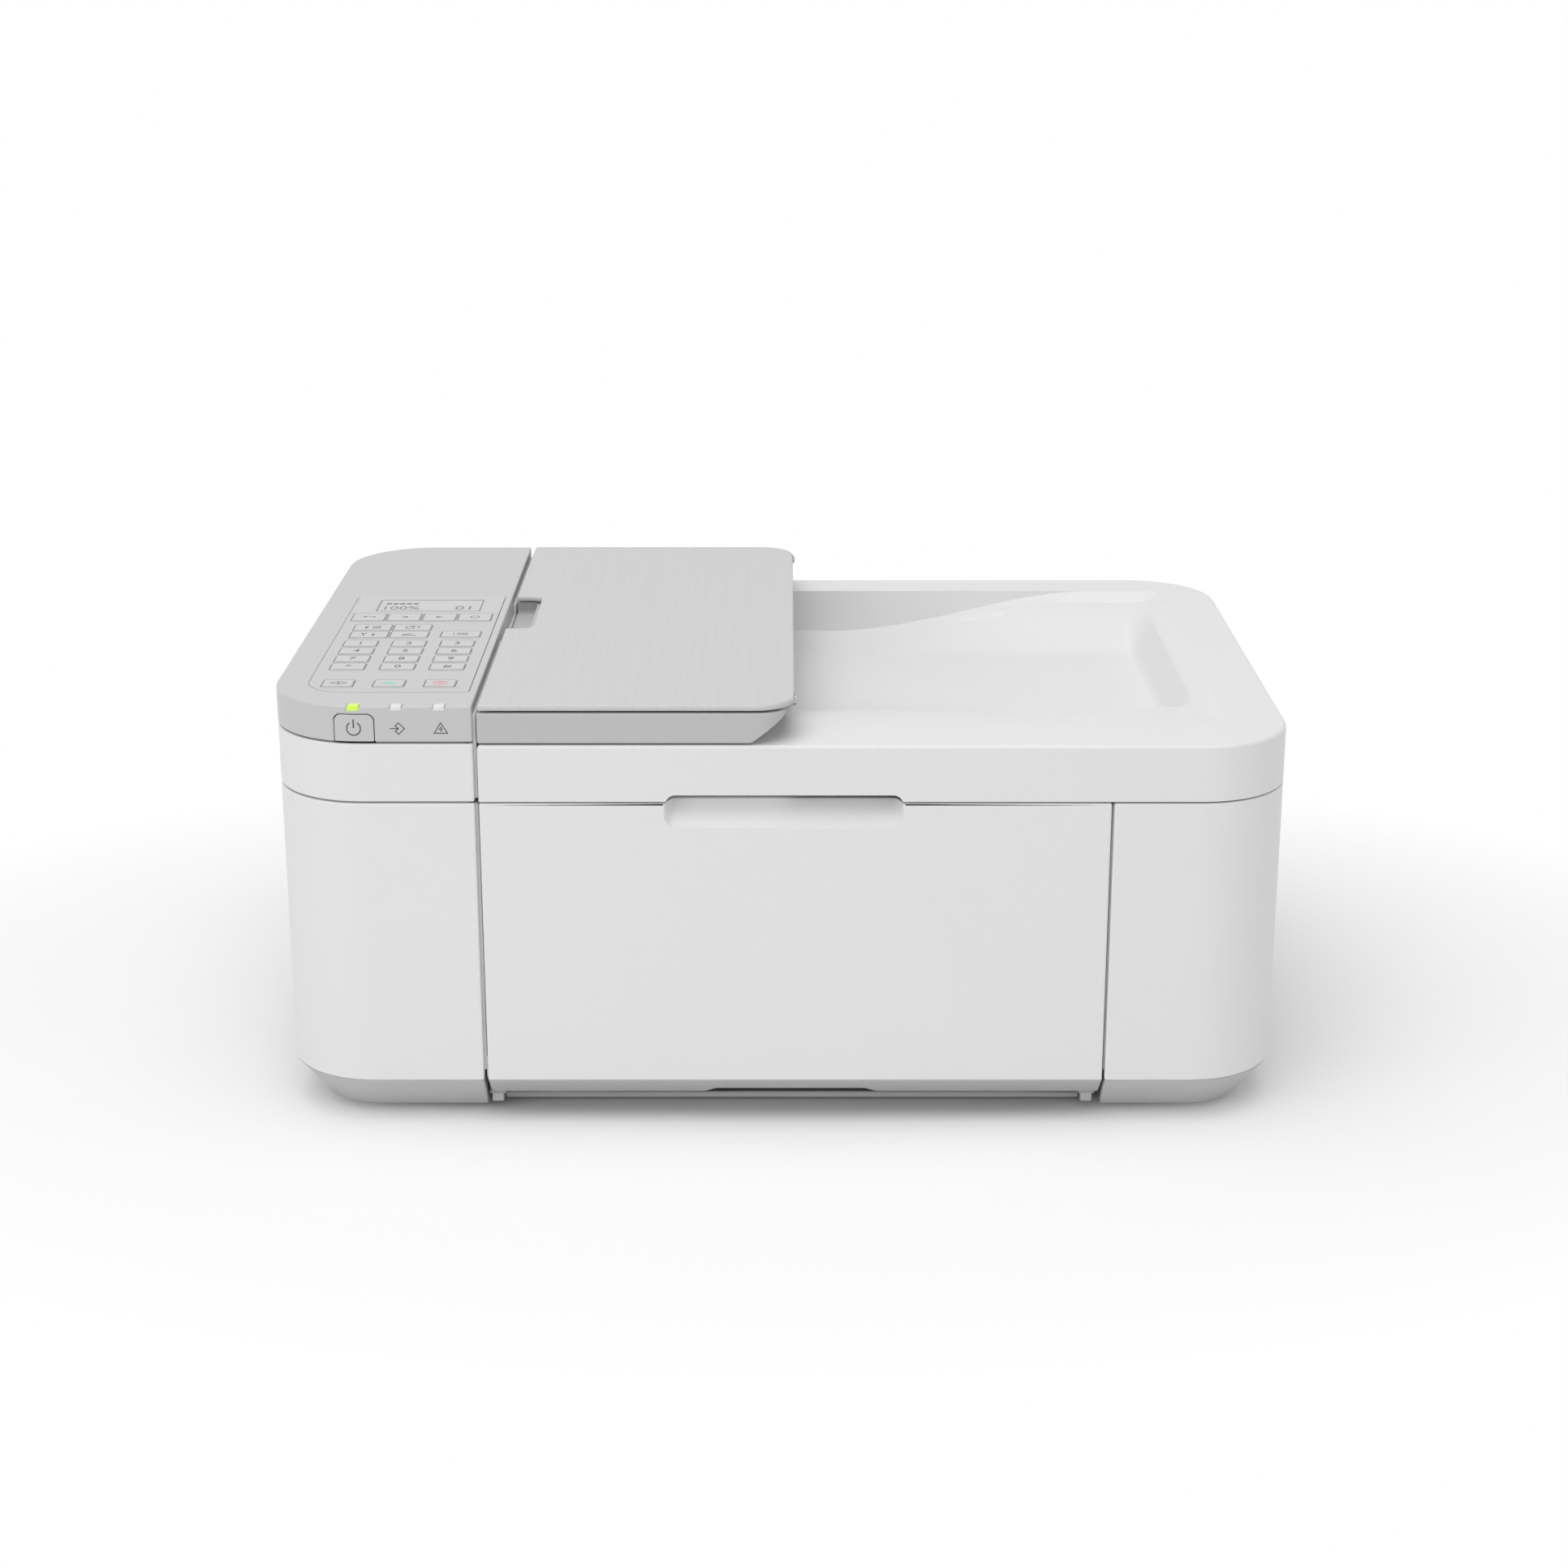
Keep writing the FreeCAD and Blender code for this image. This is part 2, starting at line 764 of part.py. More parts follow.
def make_base_housing():
    """Floor tub with the bevelled skirt and the posts that carry inner pieces."""
    small_x = half_x - d.skirt_inset
    small_y = half_y - d.skirt_inset
    skirt = lofted([
        ((-small_x, small_x), (-small_y, small_y), d.foot_height, d.corner_radius - d.skirt_inset),
        ((-half_x, half_x), (-half_y, half_y), d.skirt_top, d.corner_radius),
    ])
    hollow = plan(base_top, d.skirt_top + OVER, d.skirt_inset + d.wall)
    through = (d.foot_height - OVER, d.skirt_top + OVER)
    doorway = box((panel_right, case_right), (front - OVER, front + d.tray_front), through)
    relief_y = (front - OVER, front + d.relief_back)
    relief_left = box((panel_right, bracket_left - d.side_gap), relief_y, through)
    relief_right = box((bracket_right + d.side_gap, case_right), relief_y, through)
    groove_x = (sheet_left - d.guide_thickness, sheet_right + d.guide_thickness)
    groove_half = d.keel_width / 2 + d.nest_gap
    groove = box(groove_x, (keel_y - groove_half, keel_y + groove_half),
                 (base_top - d.keel_depth - d.nest_gap, base_top + OVER))
    holes = []
    for spot in screw_spots:
        holes.append(rod("z", spot, d.foot_height - OVER, base_top + OVER, d.screw_radius + d.screw_fit))
        holes.append(rod("z", spot, d.foot_height - OVER, screw_seat, d.screw_head + d.screw_fit))
    tub = cut(skirt, hollow, doorway, relief_left, relief_right, groove, *holes)
    brackets = [hinge_bracket(*span) for span in bracket_spans]
    pillars = []
    for low, high in pillar_spans:
        reach = (inner_y - d.pillar_depth / 2, inner_y + d.pillar_depth / 2)
        pillars.append(box((low, high), reach, (base_top, inner_axis_z + d.pillar_rise)))
    post_top = cap_top - d.post_gap
    post = box((cap_x - d.post_length / 2, cap_x + d.post_length / 2),
               (cap_y - d.post_width / 2, cap_y + d.post_width / 2), (base_top, post_top))
    bores = rod("x", (inner_y, inner_axis_z), pillar_spans[0][0] - OVER, pillar_spans[1][1] + OVER,
                d.pin_radius + d.pin_clearance)
    keep(cut(fuse(tub, post, *brackets, *pillars), bores), "base_housing")


def make_outer_case():
    """White shell round the left side, the back and the right side."""
    heights = (d.skirt_top, seam_low)
    through = (d.skirt_top - OVER, seam_low + OVER)
    ring = cut(plan(*heights), plan(*through, d.wall))
    mouth = box((panel_right, case_right), (front - OVER, front + d.jamb_depth), through)
    jamb_y = (front + d.wall / 2, front + d.jamb_depth)
    jamb_z = (d.skirt_top, scan_bottom - d.nest_gap)
    left_jamb = box((panel_right - d.wall, panel_right), jamb_y, jamb_z)
    right_jamb = box((case_right, case_right + d.wall), jamb_y, jamb_z)
    back_y = (half_y - d.wall * 2, half_y + OVER)
    rear_mouth = box((rear_left, rear_right), back_y, (d.rear_bottom, rear_top))
    inlet_half = d.inlet_width / 2 + d.socket_wall + d.nest_gap
    inlet_rise = d.inlet_height / 2 + d.socket_wall + d.nest_gap
    inlet_mouth = box((inlet_x - inlet_half, inlet_x + inlet_half), back_y,
                      (d.inlet_z - inlet_rise, d.inlet_z + inlet_rise))
    jack_mouths = []
    for z in jack_levels:
        jack_mouths.append(box((jack_x[0] - d.nest_gap, jack_x[1] + d.nest_gap), back_y,
                               (z - d.nest_gap, z + jack_block + d.nest_gap)))
    shell = fuse(cut(ring, mouth), left_jamb, right_jamb)
    keep(cut(shell, rear_mouth, inlet_mouth, *jack_mouths), "outer_case")


def make_rear_cover():
    """Access panel in the back, with a flange behind the edge of its opening."""
    gap = d.nest_gap
    face = box((rear_left + gap, rear_right - gap), (half_y - d.wall - gap, half_y),
               (d.rear_bottom + gap, rear_top - gap))
    flange = box((rear_left - d.rear_overlap, rear_right + d.rear_overlap),
                 (half_y - d.wall * 2 - gap, half_y - d.wall - gap),
                 (d.rear_bottom - d.rear_overlap, rear_top + d.rear_overlap))
    keep(fuse(face, flange), "rear_cover")


def make_feet():
    """Four rubber feet under the floor."""
    pads = []
    for side_x in (-1, 1):
        for side_y in (-1, 1):
            spot = (side_x * (half_x - d.foot_inset_x), side_y * (half_y - d.foot_inset_y))
            pads.append(rod("z", spot, 0.0, d.foot_height, d.foot_radius))
    keep(group(*pads), "feet")


def make_screws():
    """Four screws that hold the chassis to the floor."""
    screws = []
    for spot in screw_spots:
        head = rod("z", spot, screw_seat - d.screw_head_height, screw_seat, d.screw_head)
        shank = rod("z", spot, screw_seat, screw_seat + d.screw_length, d.screw_radius)
        screws.append(fuse(head, shank))
    keep(group(*screws), "screws")


# Front door

lip_rise = d.skirt_top - d.lip_bottom
lip_length = root(d.lip_back * d.lip_back + lip_rise * lip_rise)
lip_end = (front + d.lip_back + d.lip_thickness * lip_rise / lip_length,
           d.lip_bottom + d.lip_thickness * d.lip_back / lip_length)
door_inside = front + d.door_thickness
stop_axis_y = door_inside + d.barrel_radius + d.nest_gap


def door_ear(low, high):
    """A cheek of the door round its hinge pin, with the tab that shows under the lip."""
    cheek = d.cheek
    tab_front = front + d.lip_back + d.nest_gap
    return prism("yz", [
        (front + d.door_thickness / 2, d.skirt_top + lip_rise),
        (front + d.door_thickness / 2, d.skirt_top),
        (front + d.lip_back, d.lip_bottom + d.wall / 2),
        (tab_front, d.tab_bottom),
        (tab_front + cheek, d.tab_bottom),
        (axis_y + cheek, d.hinge_z - cheek),
        (axis_y + cheek, d.hinge_z + cheek / 2),
        (axis_y + cheek / 2, d.hinge_z + cheek),
    ], low, high)


def stop_lug(low, high):
    """A lug inside the door for the output stop."""
    reach = d.barrel_radius
    z = (stop_axis_z - reach, stop_axis_z + reach)
    return box((low, high), (door_inside, stop_axis_y + reach), z)


def make_front_door():
    """Drop-down door: flat panel, bevelled lower lip, finger hollow and hinge cheeks."""
    inner_corner = lip_end[1] + (lip_end[0] - door_inside) * lip_rise / d.lip_back
    panel = prism("yz", [
        (front, d.skirt_top),
        (front + d.lip_back, d.lip_bottom),
        lip_end,
        (door_inside, inner_corner),
        (door_inside, seam_low),
        (front, seam_low),
    ], cover_left, door_right)
    skin = d.wall
    shell = slab("xz", (d.handle_left - skin, d.handle_right + skin),
                 (handle_bottom - skin, handle_top),
                 (front + d.door_thickness / 2, front + d.handle_depth + skin), d.handle_radius)
    flange_y = (front + d.door_thickness / 2, door_inside + d.wall * 2)
    flange_z = (d.skirt_top + lip_rise, seam_low)
    left_flange = box((cover_left, cover_left + d.wall), flange_y, flange_z)
    right_flange = box((door_right - d.wall, door_right), flange_y, flange_z)
    ears = []
    for low, high, side in bracket_spans:
        if side < 0:
            ears.append(door_ear(low - d.side_gap - d.ear_thickness, low - d.side_gap))
        else:
            ears.append(door_ear(high + d.side_gap, high + d.side_gap + d.ear_thickness))
    lug_width = d.barrel_radius * 2
    lugs = (stop_lug(d.stop_left - d.side_gap - lug_width, d.stop_left - d.side_gap),
            stop_lug(d.stop_right + d.side_gap, d.stop_right + d.side_gap + lug_width))
    pin_at = (stop_axis_y, stop_axis_z)
    pin_spans = ((d.stop_left - d.side_gap, d.stop_left + d.small_pin_length),
                 (d.stop_right - d.small_pin_length, d.stop_right + d.side_gap))
    pins = [rod("x", pin_at, *span, d.small_pin_radius) for span in pin_spans]
    notch = prism("xz", [
        (d.lip_notch_left, d.lip_bottom - OVER),
        (d.lip_notch_right, d.lip_bottom - OVER),
        (d.lip_notch_right - d.lip_notch_slope, d.lip_bottom + d.lip_notch_rise),
        (d.lip_notch_left + d.lip_notch_slope, d.lip_bottom + d.lip_notch_rise),
    ], front, axis_y)
    above = box((d.handle_left - skin * 2, d.handle_right + skin * 2),
                (front - OVER, front + d.handle_depth * 2), (seam_low, handle_top + OVER))
    bore = rod("x", (axis_y, d.hinge_z), cover_left - OVER, door_right + OVER,
               d.pin_radius + d.pin_clearance)
    whole = fuse(panel, shell, left_flange, right_flange, *ears, *lugs, *pins)
    keep(cut(whole, handle_pocket(), notch, above, bore), "front_door")


def make_output_stop():
    """Flap inside the door that stands up at the far end of the open door."""
    span = (d.stop_left, d.stop_right)
    barrel = rod("x", (stop_axis_y, stop_axis_z), *span, d.barrel_radius)
    half = d.stop_thickness / 2
    leaf = box(span, (stop_axis_y - half, stop_axis_y + half),
               (stop_axis_z - d.stop_length, stop_axis_z))
    hole = rod("x", (stop_axis_y, stop_axis_z), d.stop_left - OVER, d.stop_right + OVER,
               d.small_pin_radius + d.pin_clearance)
    keep(cut(fuse(barrel, leaf), hole), "output_stop")


# Paper path


def make_paper_guides():
    """Two fences on the tray floor, each on a keel in the floor's groove."""
    lift = base_top + d.nest_gap
    for label, edge in (("paper_guide_left", sheet_left), ("paper_guide_right", sheet_right)):
        if label == "paper_guide_left":
            fence_x = (edge - d.guide_thickness, edge)
            foot_x = (edge - d.guide_thickness, edge + d.guide_foot)
        else:
            fence_x = (edge, edge + d.guide_thickness)
            foot_x = (edge - d.guide_foot, edge + d.guide_thickness)
        fence = box(fence_x, (guide_front, d.guide_back), (lift, lift + d.guide_height))
        foot_half = d.guide_foot / 2
        foot = box(foot_x, (keel_y - foot_half, keel_y + foot_half), (lift, lift + d.wall))
        keel = box(foot_x, (keel_y - d.keel_width / 2, keel_y + d.keel_width / 2),
                   (base_top - d.keel_depth, lift + d.wall))
        keep(fuse(fence, foot, keel), label)


def make_inner_cover():
    """Flap in front of the carriage bay, on two pins in the floor's pillars."""
    span = (inner_left, inner_right)
    half = d.inner_thickness / 2
    at = (inner_y, inner_axis_z)
    leaf = box(span, (inner_y - half, inner_y + half),
               (inner_axis_z, inner_axis_z + d.inner_height))
    reach = d.pillar_width + d.side_gap
    barrel = rod("x", at, inner_left, inner_right, d.inner_barrel)
    axle = rod("x", at, inner_left - reach, inner_right + reach, d.pin_radius)
    keep(fuse(leaf, barrel, axle), "inner_cover")


# Print engine

idler_y = (d.feed_y + d.eject_y) / 2
shaft_hole = d.shaft_radius + d.pin_clearance
belt_back = d.rail_y - d.cap_gap
belt_front = belt_back - d.belt_width


def make_chassis():
    """Steel frame: two legs with foot flanges, the rear rail, the carriage rod and the fixed studs."""
    parts = []
    outside = leg_x + d.steel_thickness
    inside = leg_x - d.flange_width
    reach = (d.leg_front, d.leg_back)
    flange_z = (base_top, base_top + d.steel_thickness)
    left = ((-outside, -leg_x), (-outside, -inside))
    right = ((leg_x, outside), (inside, outside))
    for leg, flange in (left, right):
        parts.append(box(leg, reach, (base_top, scan_bottom)))
        parts.append(box(flange, reach, flange_z))
    rail = box((-outside, outside), (d.rail_y, d.rail_y + d.steel_thickness), (rail_bottom, rail_top))
    carriage_rod = rod("x", (d.rod_y, rod_z), -outside, outside, d.rod_radius)
    stud = rod("x", (idler_y, roller_z), -outside, gear_x + d.gear_width, d.shaft_radius)
    tension_stud = rod("y", (pulley_right, belt_z), belt_front, d.rail_y, d.pulley_radius)
    holes = []
    for y in (d.feed_y, d.eject_y):
        holes.append(rod("x", (y, roller_z), -outside - OVER, outside + OVER, shaft_hole))
    holes.append(rod("y", (pulley_left, belt_z), d.rail_y - OVER, d.rail_y + d.steel_thickness + OVER,
                     d.shaft_radius + d.nest_gap))
    for spot in screw_spots:
        holes.append(rod("z", spot, base_top - OVER, base_top + d.steel_thickness + OVER,
                         d.screw_radius + d.pin_clearance))
    keep(cut(fuse(*parts, rail, carriage_rod, stud, tension_stud), *holes), "chassis")


PRESSURE_ANGLE = math.radians(20)
TOOTH_SHARE = 0.23    # half a tooth on the pitch circle, as a share of the step
TIP_MODULES = 0.9
ROOT_MODULES = 1.25


def gear(teeth, centre_y, first_tooth):
    """A straight-toothed wheel across x; first_tooth is the angle of one tooth from +Y, in radians."""
    module = ((d.feed_y - d.eject_y) / (FEED_TEETH + IDLER_TEETH)).value
    pitch_radius = module * teeth / 2
    step = 2 * math.pi / teeth
    slope = math.tan(PRESSURE_ANGLE) / pitch_radius
    above = TIP_MODULES * module
    below = ROOT_MODULES * module
    tip = pitch_radius + above
    base = pitch_radius - below
    root_half = TOOTH_SHARE * step + below * slope
    tip_half = TOOTH_SHARE * step - above * slope
    profile = ((base, -root_half), (tip, -tip_half), (tip, tip_half), (base, root_half))
    corners = []
    for tooth in range(teeth):
        for radius, turn in profile:
            angle = first_tooth + tooth * step + turn
            y = centre_y.value + radius * math.cos(angle)
            z = roller_z.value + radius * math.sin(angle)
            corners.append(FreeCAD.Vector(gear_x.value, y, z))
    face = Part.Face(Part.makePolygon(corners + corners[:1]))
    wheel = doc.addObject("Part::Feature", "wheel")
    wheel.Shape = face.extrude(FreeCAD.Vector(d.gear_width.value, 0, 0))
    return wheel


def roller(centre_y, radius, first_tooth):
    """A driven roller: shaft in the chassis legs, rubber barrel and its gear."""
    end = leg_x + d.steel_thickness * 2
    shaft = rod("x", (centre_y, roller_z), -end, end, d.shaft_radius)
    barrel = rod("x", (centre_y, roller_z), sheet_left, sheet_right, radius)
    return fuse(shaft, barrel, gear(FEED_TEETH, centre_y, first_tooth))


def make_rollers():
    """Feed roller, eject roller and the idler gear between them."""
    keep(roller(d.feed_y, d.feed_radius, math.pi), "feed_roller")
    keep(roller(d.eject_y, d.eject_radius, 0.0), "eject_roller")
    bore_x = (gear_x - OVER, gear_x + d.gear_width + OVER)
    bore = rod("x", (idler_y, roller_z), *bore_x, shaft_hole)
    keep(cut(gear(IDLER_TEETH, idler_y, math.pi / IDLER_TEETH), bore), "idler_gear")


carriage_right = carriage_left + d.carriage_width
bay_width = (d.carriage_width - d.wall * 3) / 2
bay_pitch = bay_width + d.wall
bays = [(carriage_left + d.wall + i * bay_pitch, carriage_left + (i + 1) * bay_pitch) for i in (0, 1)]


def make_carriage():
    """Open tray for two cartridges, hung on the rod by a boss behind it."""
    span = (carriage_left, carriage_right)
    tray = box(span, (d.carriage_front, d.carriage_back), (carriage_bottom, carriage_top))
    boss = box(span, (d.carriage_back, d.rod_y + d.rod_radius + d.wall),
               (rod_z - d.boss_height / 2, rod_z + d.boss_height / 2))
    inside_y = (d.carriage_front + d.wall, d.carriage_back - d.wall)
    cells = [box(bay, inside_y, (carriage_bottom + d.wall, carriage_top + OVER)) for bay in bays]
    bore = rod("x", (d.rod_y, rod_z), carriage_left - OVER, carriage_right + OVER,
               d.rod_radius + d.pin_clearance)
    keep(cut(fuse(tray, boss), *cells, bore), "carriage")


def make_ink_cartridges():
    """Two cartridges with a raised grip, standing in the carriage."""
    blocks = []
    floor = carriage_bottom + d.wall
    for low, high in bays:
        x = (low + d.cartridge_gap, high - d.cartridge_gap)
        y0 = d.carriage_front + d.wall + d.cartridge_gap
        y1 = d.carriage_back - d.wall - d.cartridge_gap
        tank = box(x, (y0, y1), (floor, carriage_top - d.wall))
        grip = box(x, (y0, y0 + bay_width / 2), (floor, carriage_top + d.cartridge_rise))
        blocks.append(fuse(tank, grip))
    keep(group(*blocks), "ink_cartridges")


def oval(radius, y):
    """A long round-ended bar round both belt pulleys."""
    middle = box((pulley_left, pulley_right), y, (belt_z - radius, belt_z + radius))
    ends = [rod("y", (x, belt_z), *y, radius) for x in (pulley_left, pulley_right)]
    return fuse(middle, *ends)


def make_belt_drive():
    """Carriage motor with its pulley, and the belt to the tension stud."""
    at = (pulley_left, belt_z)
    rail_back = d.rail_y + d.steel_thickness
    can = rod("y", at, rail_back, rail_back + d.motor_length, d.motor_radius)
    shaft = rod("y", at, belt_front, rail_back, d.shaft_radius)
    pulley = rod("y", at, belt_front, belt_back, d.pulley_radius)
    keep(fuse(can, shaft, pulley), "carriage_motor")
    inner = d.pulley_radius + d.pin_clearance
    outer = inner + d.belt_thickness
    loop = oval(outer, (belt_front, belt_back))
    keep(cut(loop, oval(inner, (belt_front - OVER, belt_back + OVER))), "drive_belt")


def make_maintenance_cap():
    """Cap under the parked carriage, guided by a post of the floor."""
    bottom = cap_top - d.cap_height
    block = box((cap_x - d.cap_length / 2, cap_x + d.cap_length / 2),
                (cap_y - d.cap_width / 2, cap_y + d.cap_width / 2), (bottom, cap_top))
    half_l = d.post_length / 2 + d.nest_gap
    half_w = d.post_width / 2 + d.nest_gap
    well = box((cap_x - half_l, cap_x + half_l), (cap_y - half_w, cap_y + half_w),
               (bottom - OVER, cap_top - d.cap_drop + d.nest_gap))
    keep(cut(block, well), "maintenance_cap")


# Electrics

jack_block = d.jack_height + d.socket_wall * 2
jack_x = (board_x + d.board_thickness, board_x + d.board_thickness + d.jack_width + d.socket_wall * 2)
jack_levels = [d.jack_low + i * d.jack_pitch for i in range(3)]


def make_power_unit():
    """Supply block with the mains inlet that shows in the back."""
    block = box((power_left, power_right), (power_front, power_back),
                (base_top, base_top + d.power_height))
    half_w = d.inlet_width / 2
    half_h = d.inlet_height / 2
    skin = d.socket_wall
    neck = box((inlet_x - half_w - skin, inlet_x + half_w + skin), (power_back, half_y),
               (d.inlet_z - half_h - skin, d.inlet_z + half_h + skin))
    well = box((inlet_x - half_w, inlet_x + half_w), (half_y - d.socket_depth, half_y + OVER),
               (d.inlet_z - half_h, d.inlet_z + half_h))
    keep(cut(fuse(block, neck), well), "power_unit")


def make_main_board():
    """Upright circuit board with three sockets that show in the back."""
    board = box((board_x, board_x + d.board_thickness), (board_front, board_back),
                (base_top, board_top))
    housings = []
    wells = []
    for z in jack_levels:
        housings.append(box(jack_x, (board_back - d.socket_depth, half_y), (z, z + jack_block)))
        wells.append(box((jack_x[0] + d.socket_wall, jack_x[1] - d.socket_wall),
                         (half_y - d.socket_depth, half_y + OVER),
                         (z + d.socket_wall, z + jack_block - d.socket_wall)))
    keep(cut(fuse(board, *housings), *wells), "main_board")


# Scanner

cover_axis_y = half_y - d.cover_axis_in
lug_spans = [(x, x + d.lug_width) for x in (lug_left_x, lug_right_x)]
cover_axis_z_low = cover_axis_z - d.cover_axis_in + d.cover_gap
frame_inset = d.wall + d.nest_gap
all_y = (front - OVER, half_y + OVER)


def left_of(solid, limit, z):
    """The part of a solid that lies left of a limit."""
    return shared(solid, box((-half_x - OVER, limit), all_y, z))


def make_scanner_frame():
    """Scanner tub with the glass seat, the white band under the panel and the cover's hinge lugs."""
    deck_under = scan_top - d.scan_wall
    floor_top = scan_bottom + d.scan_wall
    tub = plan(scan_bottom, scan_top, frame_inset)
    hollow = plan(floor_top, deck_under, frame_inset + d.scan_wall)
    fit = d.glass_fit
    seat = box((glass_left - fit, glass_right + fit), (-glass_half - fit, glass_half + fit),
               (scan_top - d.glass_thickness, scan_top + OVER))
    ledge = d.glass_ledge
    window = box((glass_left + ledge, glass_right - ledge),
                 (-glass_half + ledge, glass_half - ledge), (deck_under - OVER, scan_top + OVER))
    bay_back = front + d.handle_depth + d.wall * 2
    bay_x = (cover_left - d.lug_gap, door_right + d.lug_gap)
    bay_wall = box((bay_x[0] - d.scan_wall, bay_x[1] + d.scan_wall),
                   (front + frame_inset, bay_back + d.scan_wall), (scan_bottom, scan_top))
    door_bay = box(bay_x, (front - OVER, bay_back), (scan_bottom - OVER, scan_top + OVER))
    rail_half = d.scan_rail_width / 2
    rail = box((glass_left, glass_right), (-rail_half, rail_half),
               (floor_top, floor_top + d.scan_rail_height))
    band_z = (seam_high, deck_z - d.deck_gap)
    over_z = (deck_under - OVER, deck_z + OVER)
    band = left_of(plan(*band_z), panel_right, over_z)
    inner = frame_inset + d.scan_wall
    limit = panel_right - d.wall
    low_hollow = left_of(plan(seam_high - OVER, band_ledge, inner), limit, over_z)
    high_hollow = left_of(plan(band_ledge, deck_z, d.wall), limit, over_z)
    link = left_of(cut(plan(deck_under, plate_z, frame_inset), plan(*over_z, inner)), limit, over_z)
    lugs = []
    reach = d.lug_gap + d.pin_length
    lug_y = (cover_axis_y - d.lug_radius, half_y - frame_inset)
    for low, high in lug_spans:
        lugs.append(box((low, high), lug_y, (deck_under, cover_axis_z)))
        lugs.append(rod("x", (cover_axis_y, cover_axis_z), low, high, d.lug_radius))
        lugs.append(rod("x", (cover_axis_y, cover_axis_z), low - reach, high + reach, d.cover_pin_radius))
    shell = cut(fuse(cut(tub, hollow), bay_wall), door_bay, seat, window)
    upper = cut(band, low_hollow, high_hollow)
    keep(fuse(shell, rail, upper, link, *lugs), "scanner_frame")


def make_platen_glass():
    """Glass sheet that lies flush in the scanner's deck."""
    keep(box((glass_left, glass_right), (-glass_half, glass_half),
             (scan_top - d.glass_thickness, scan_top)), "platen_glass")


def make_scan_unit():
    """Sensor bar across the scanner, with a slot over the scanner's rail."""
    right = scan_unit_left + d.scan_unit_width
    bar = box((scan_unit_left, right), (-scan_unit_half, scan_unit_half),
              (scan_unit_bottom, scan_unit_top))
    slot_half = d.scan_rail_width / 2 + d.nest_gap
    slot_top = scan_bottom + d.scan_wall + d.scan_rail_height + d.nest_gap
    slot = box((scan_unit_left - OVER, right + OVER), (-slot_half, slot_half),
               (scan_unit_bottom - OVER, slot_top))
    keep(cut(bar, slot), "scan_unit")


# Document cover


def make_document_cover():
    """White lid over the glass, with the hollow where fed documents land."""
    whole_z = (seam_high - OVER, cover_top + OVER)
    outer = shared(plan(seam_high, cover_top), box((cover_left, half_x + OVER), all_y, whole_z))
    under = shared(plan(seam_high - OVER, plate_z, d.wall),
                   box((cover_left + d.wall, half_x), all_y, whole_z))
    gap = d.nest_gap
    feeder_well = box((body_left - gap, body_right + gap), (-body_half - gap, body_half + gap),
                      (recess_floor, cover_top + OVER))
    start = body_right - d.recess_radius * 2
    sections = []
    levels = ((d.recess_slope_in, recess_floor), (d.recess_step_in, recess_step), (0.0, cover_top))
    for inset, z in levels:
        along = (recess_front + inset, recess_back - inset)
        sections.append(((start, recess_right - inset), along, z, d.recess_radius))
    recess = lofted(sections)
    skin = d.rim_skin
    rim_z = (seam_high - OVER, cover_top - skin)
    straight_x = half_x - d.corner_radius
    straight_y = half_y - d.corner_radius
    right_rim = box((recess_right + skin, half_x - d.wall), (-straight_y, straight_y), rim_z)
    front_rim = box((feeder_right, straight_x), (front + d.wall, recess_front - skin), rim_z)
    back_rim = box((feeder_right, straight_x), (recess_back + skin, half_y - d.wall), rim_z)
    rear_lift = box((cover_left - OVER, half_x), (half_y - d.wall - OVER, half_y + OVER),
                    (seam_high - OVER, plate_z))
    rims = (right_rim, front_rim, back_rim)
    shell = cut(outer, under, feeder_well, recess, *rims, rear_lift, handle_pocket())
    knuckles = []
    slots = []
    knuckle_y = (cover_axis_y - d.knuckle / 2, half_y)
    knuckle_z = (cover_axis_z_low, cover_axis_z + d.knuckle / 2)
    for low, high in lug_spans:
        knuckles.append(box((low - d.lug_gap - d.knuckle, low), knuckle_y, knuckle_z))
        knuckles.append(box((high, high + d.lug_gap + d.knuckle), knuckle_y, knuckle_z))
        slots.append(box((low - d.lug_gap, high + d.lug_gap), (knuckle_y[0] - OVER, half_y + OVER),
                         (seam_high - OVER, knuckle_z[1] + OVER)))
    reach = d.lug_gap + d.pin_length + gap
    hole = d.cover_pin_radius + d.pin_clearance
    at = (cover_axis_y, cover_axis_z)
    bores = [rod("x", at, low - reach, high + reach, hole) for low, high in lug_spans]
    keep(cut(fuse(shell, *knuckles), *slots, *bores), "document_cover")


def make_pressure_pad():
    """Foam sheet under the cover that presses on the original."""
    keep(box((pad_left, pad_right), (-pad_half, pad_half), (scan_top + d.pad_gap, plate_z)),
         "pressure_pad")


# Document feeder

feeder_bottom = deck_z - d.deck_gap
feeder_y = (front + d.feeder_inset, half_y - d.feeder_inset)
lid_under = d.height - d.lid_thickness
lid_left = cover_left + d.feeder_inset
channel_x = lid_axis_x - d.channel_in
ear_centres = (-lid_ear_y, lid_ear_y)
lid_axis = (lid_axis_x, lid_axis_z)
lid_lug_radius = d.lid_ear_radius - d.cap_gap
stem_x = (docguide_left + docguide_right) / 2


def lid_lug_spans(centre):
    """The y limits of the two feeder lugs beside one ear of the lid."""
    inner = d.lid_ear_half + d.side_gap
    outer = inner + d.lid_ear_half * 2
    return ((centre - outer, centre - inner), (centre + inner, centre + outer))


def mirrored(side, near, far):
    """Limits from near to far on the front (-1) or the back (1) of the middle."""
    return (near, far) if side > 0 else (-far, -near)


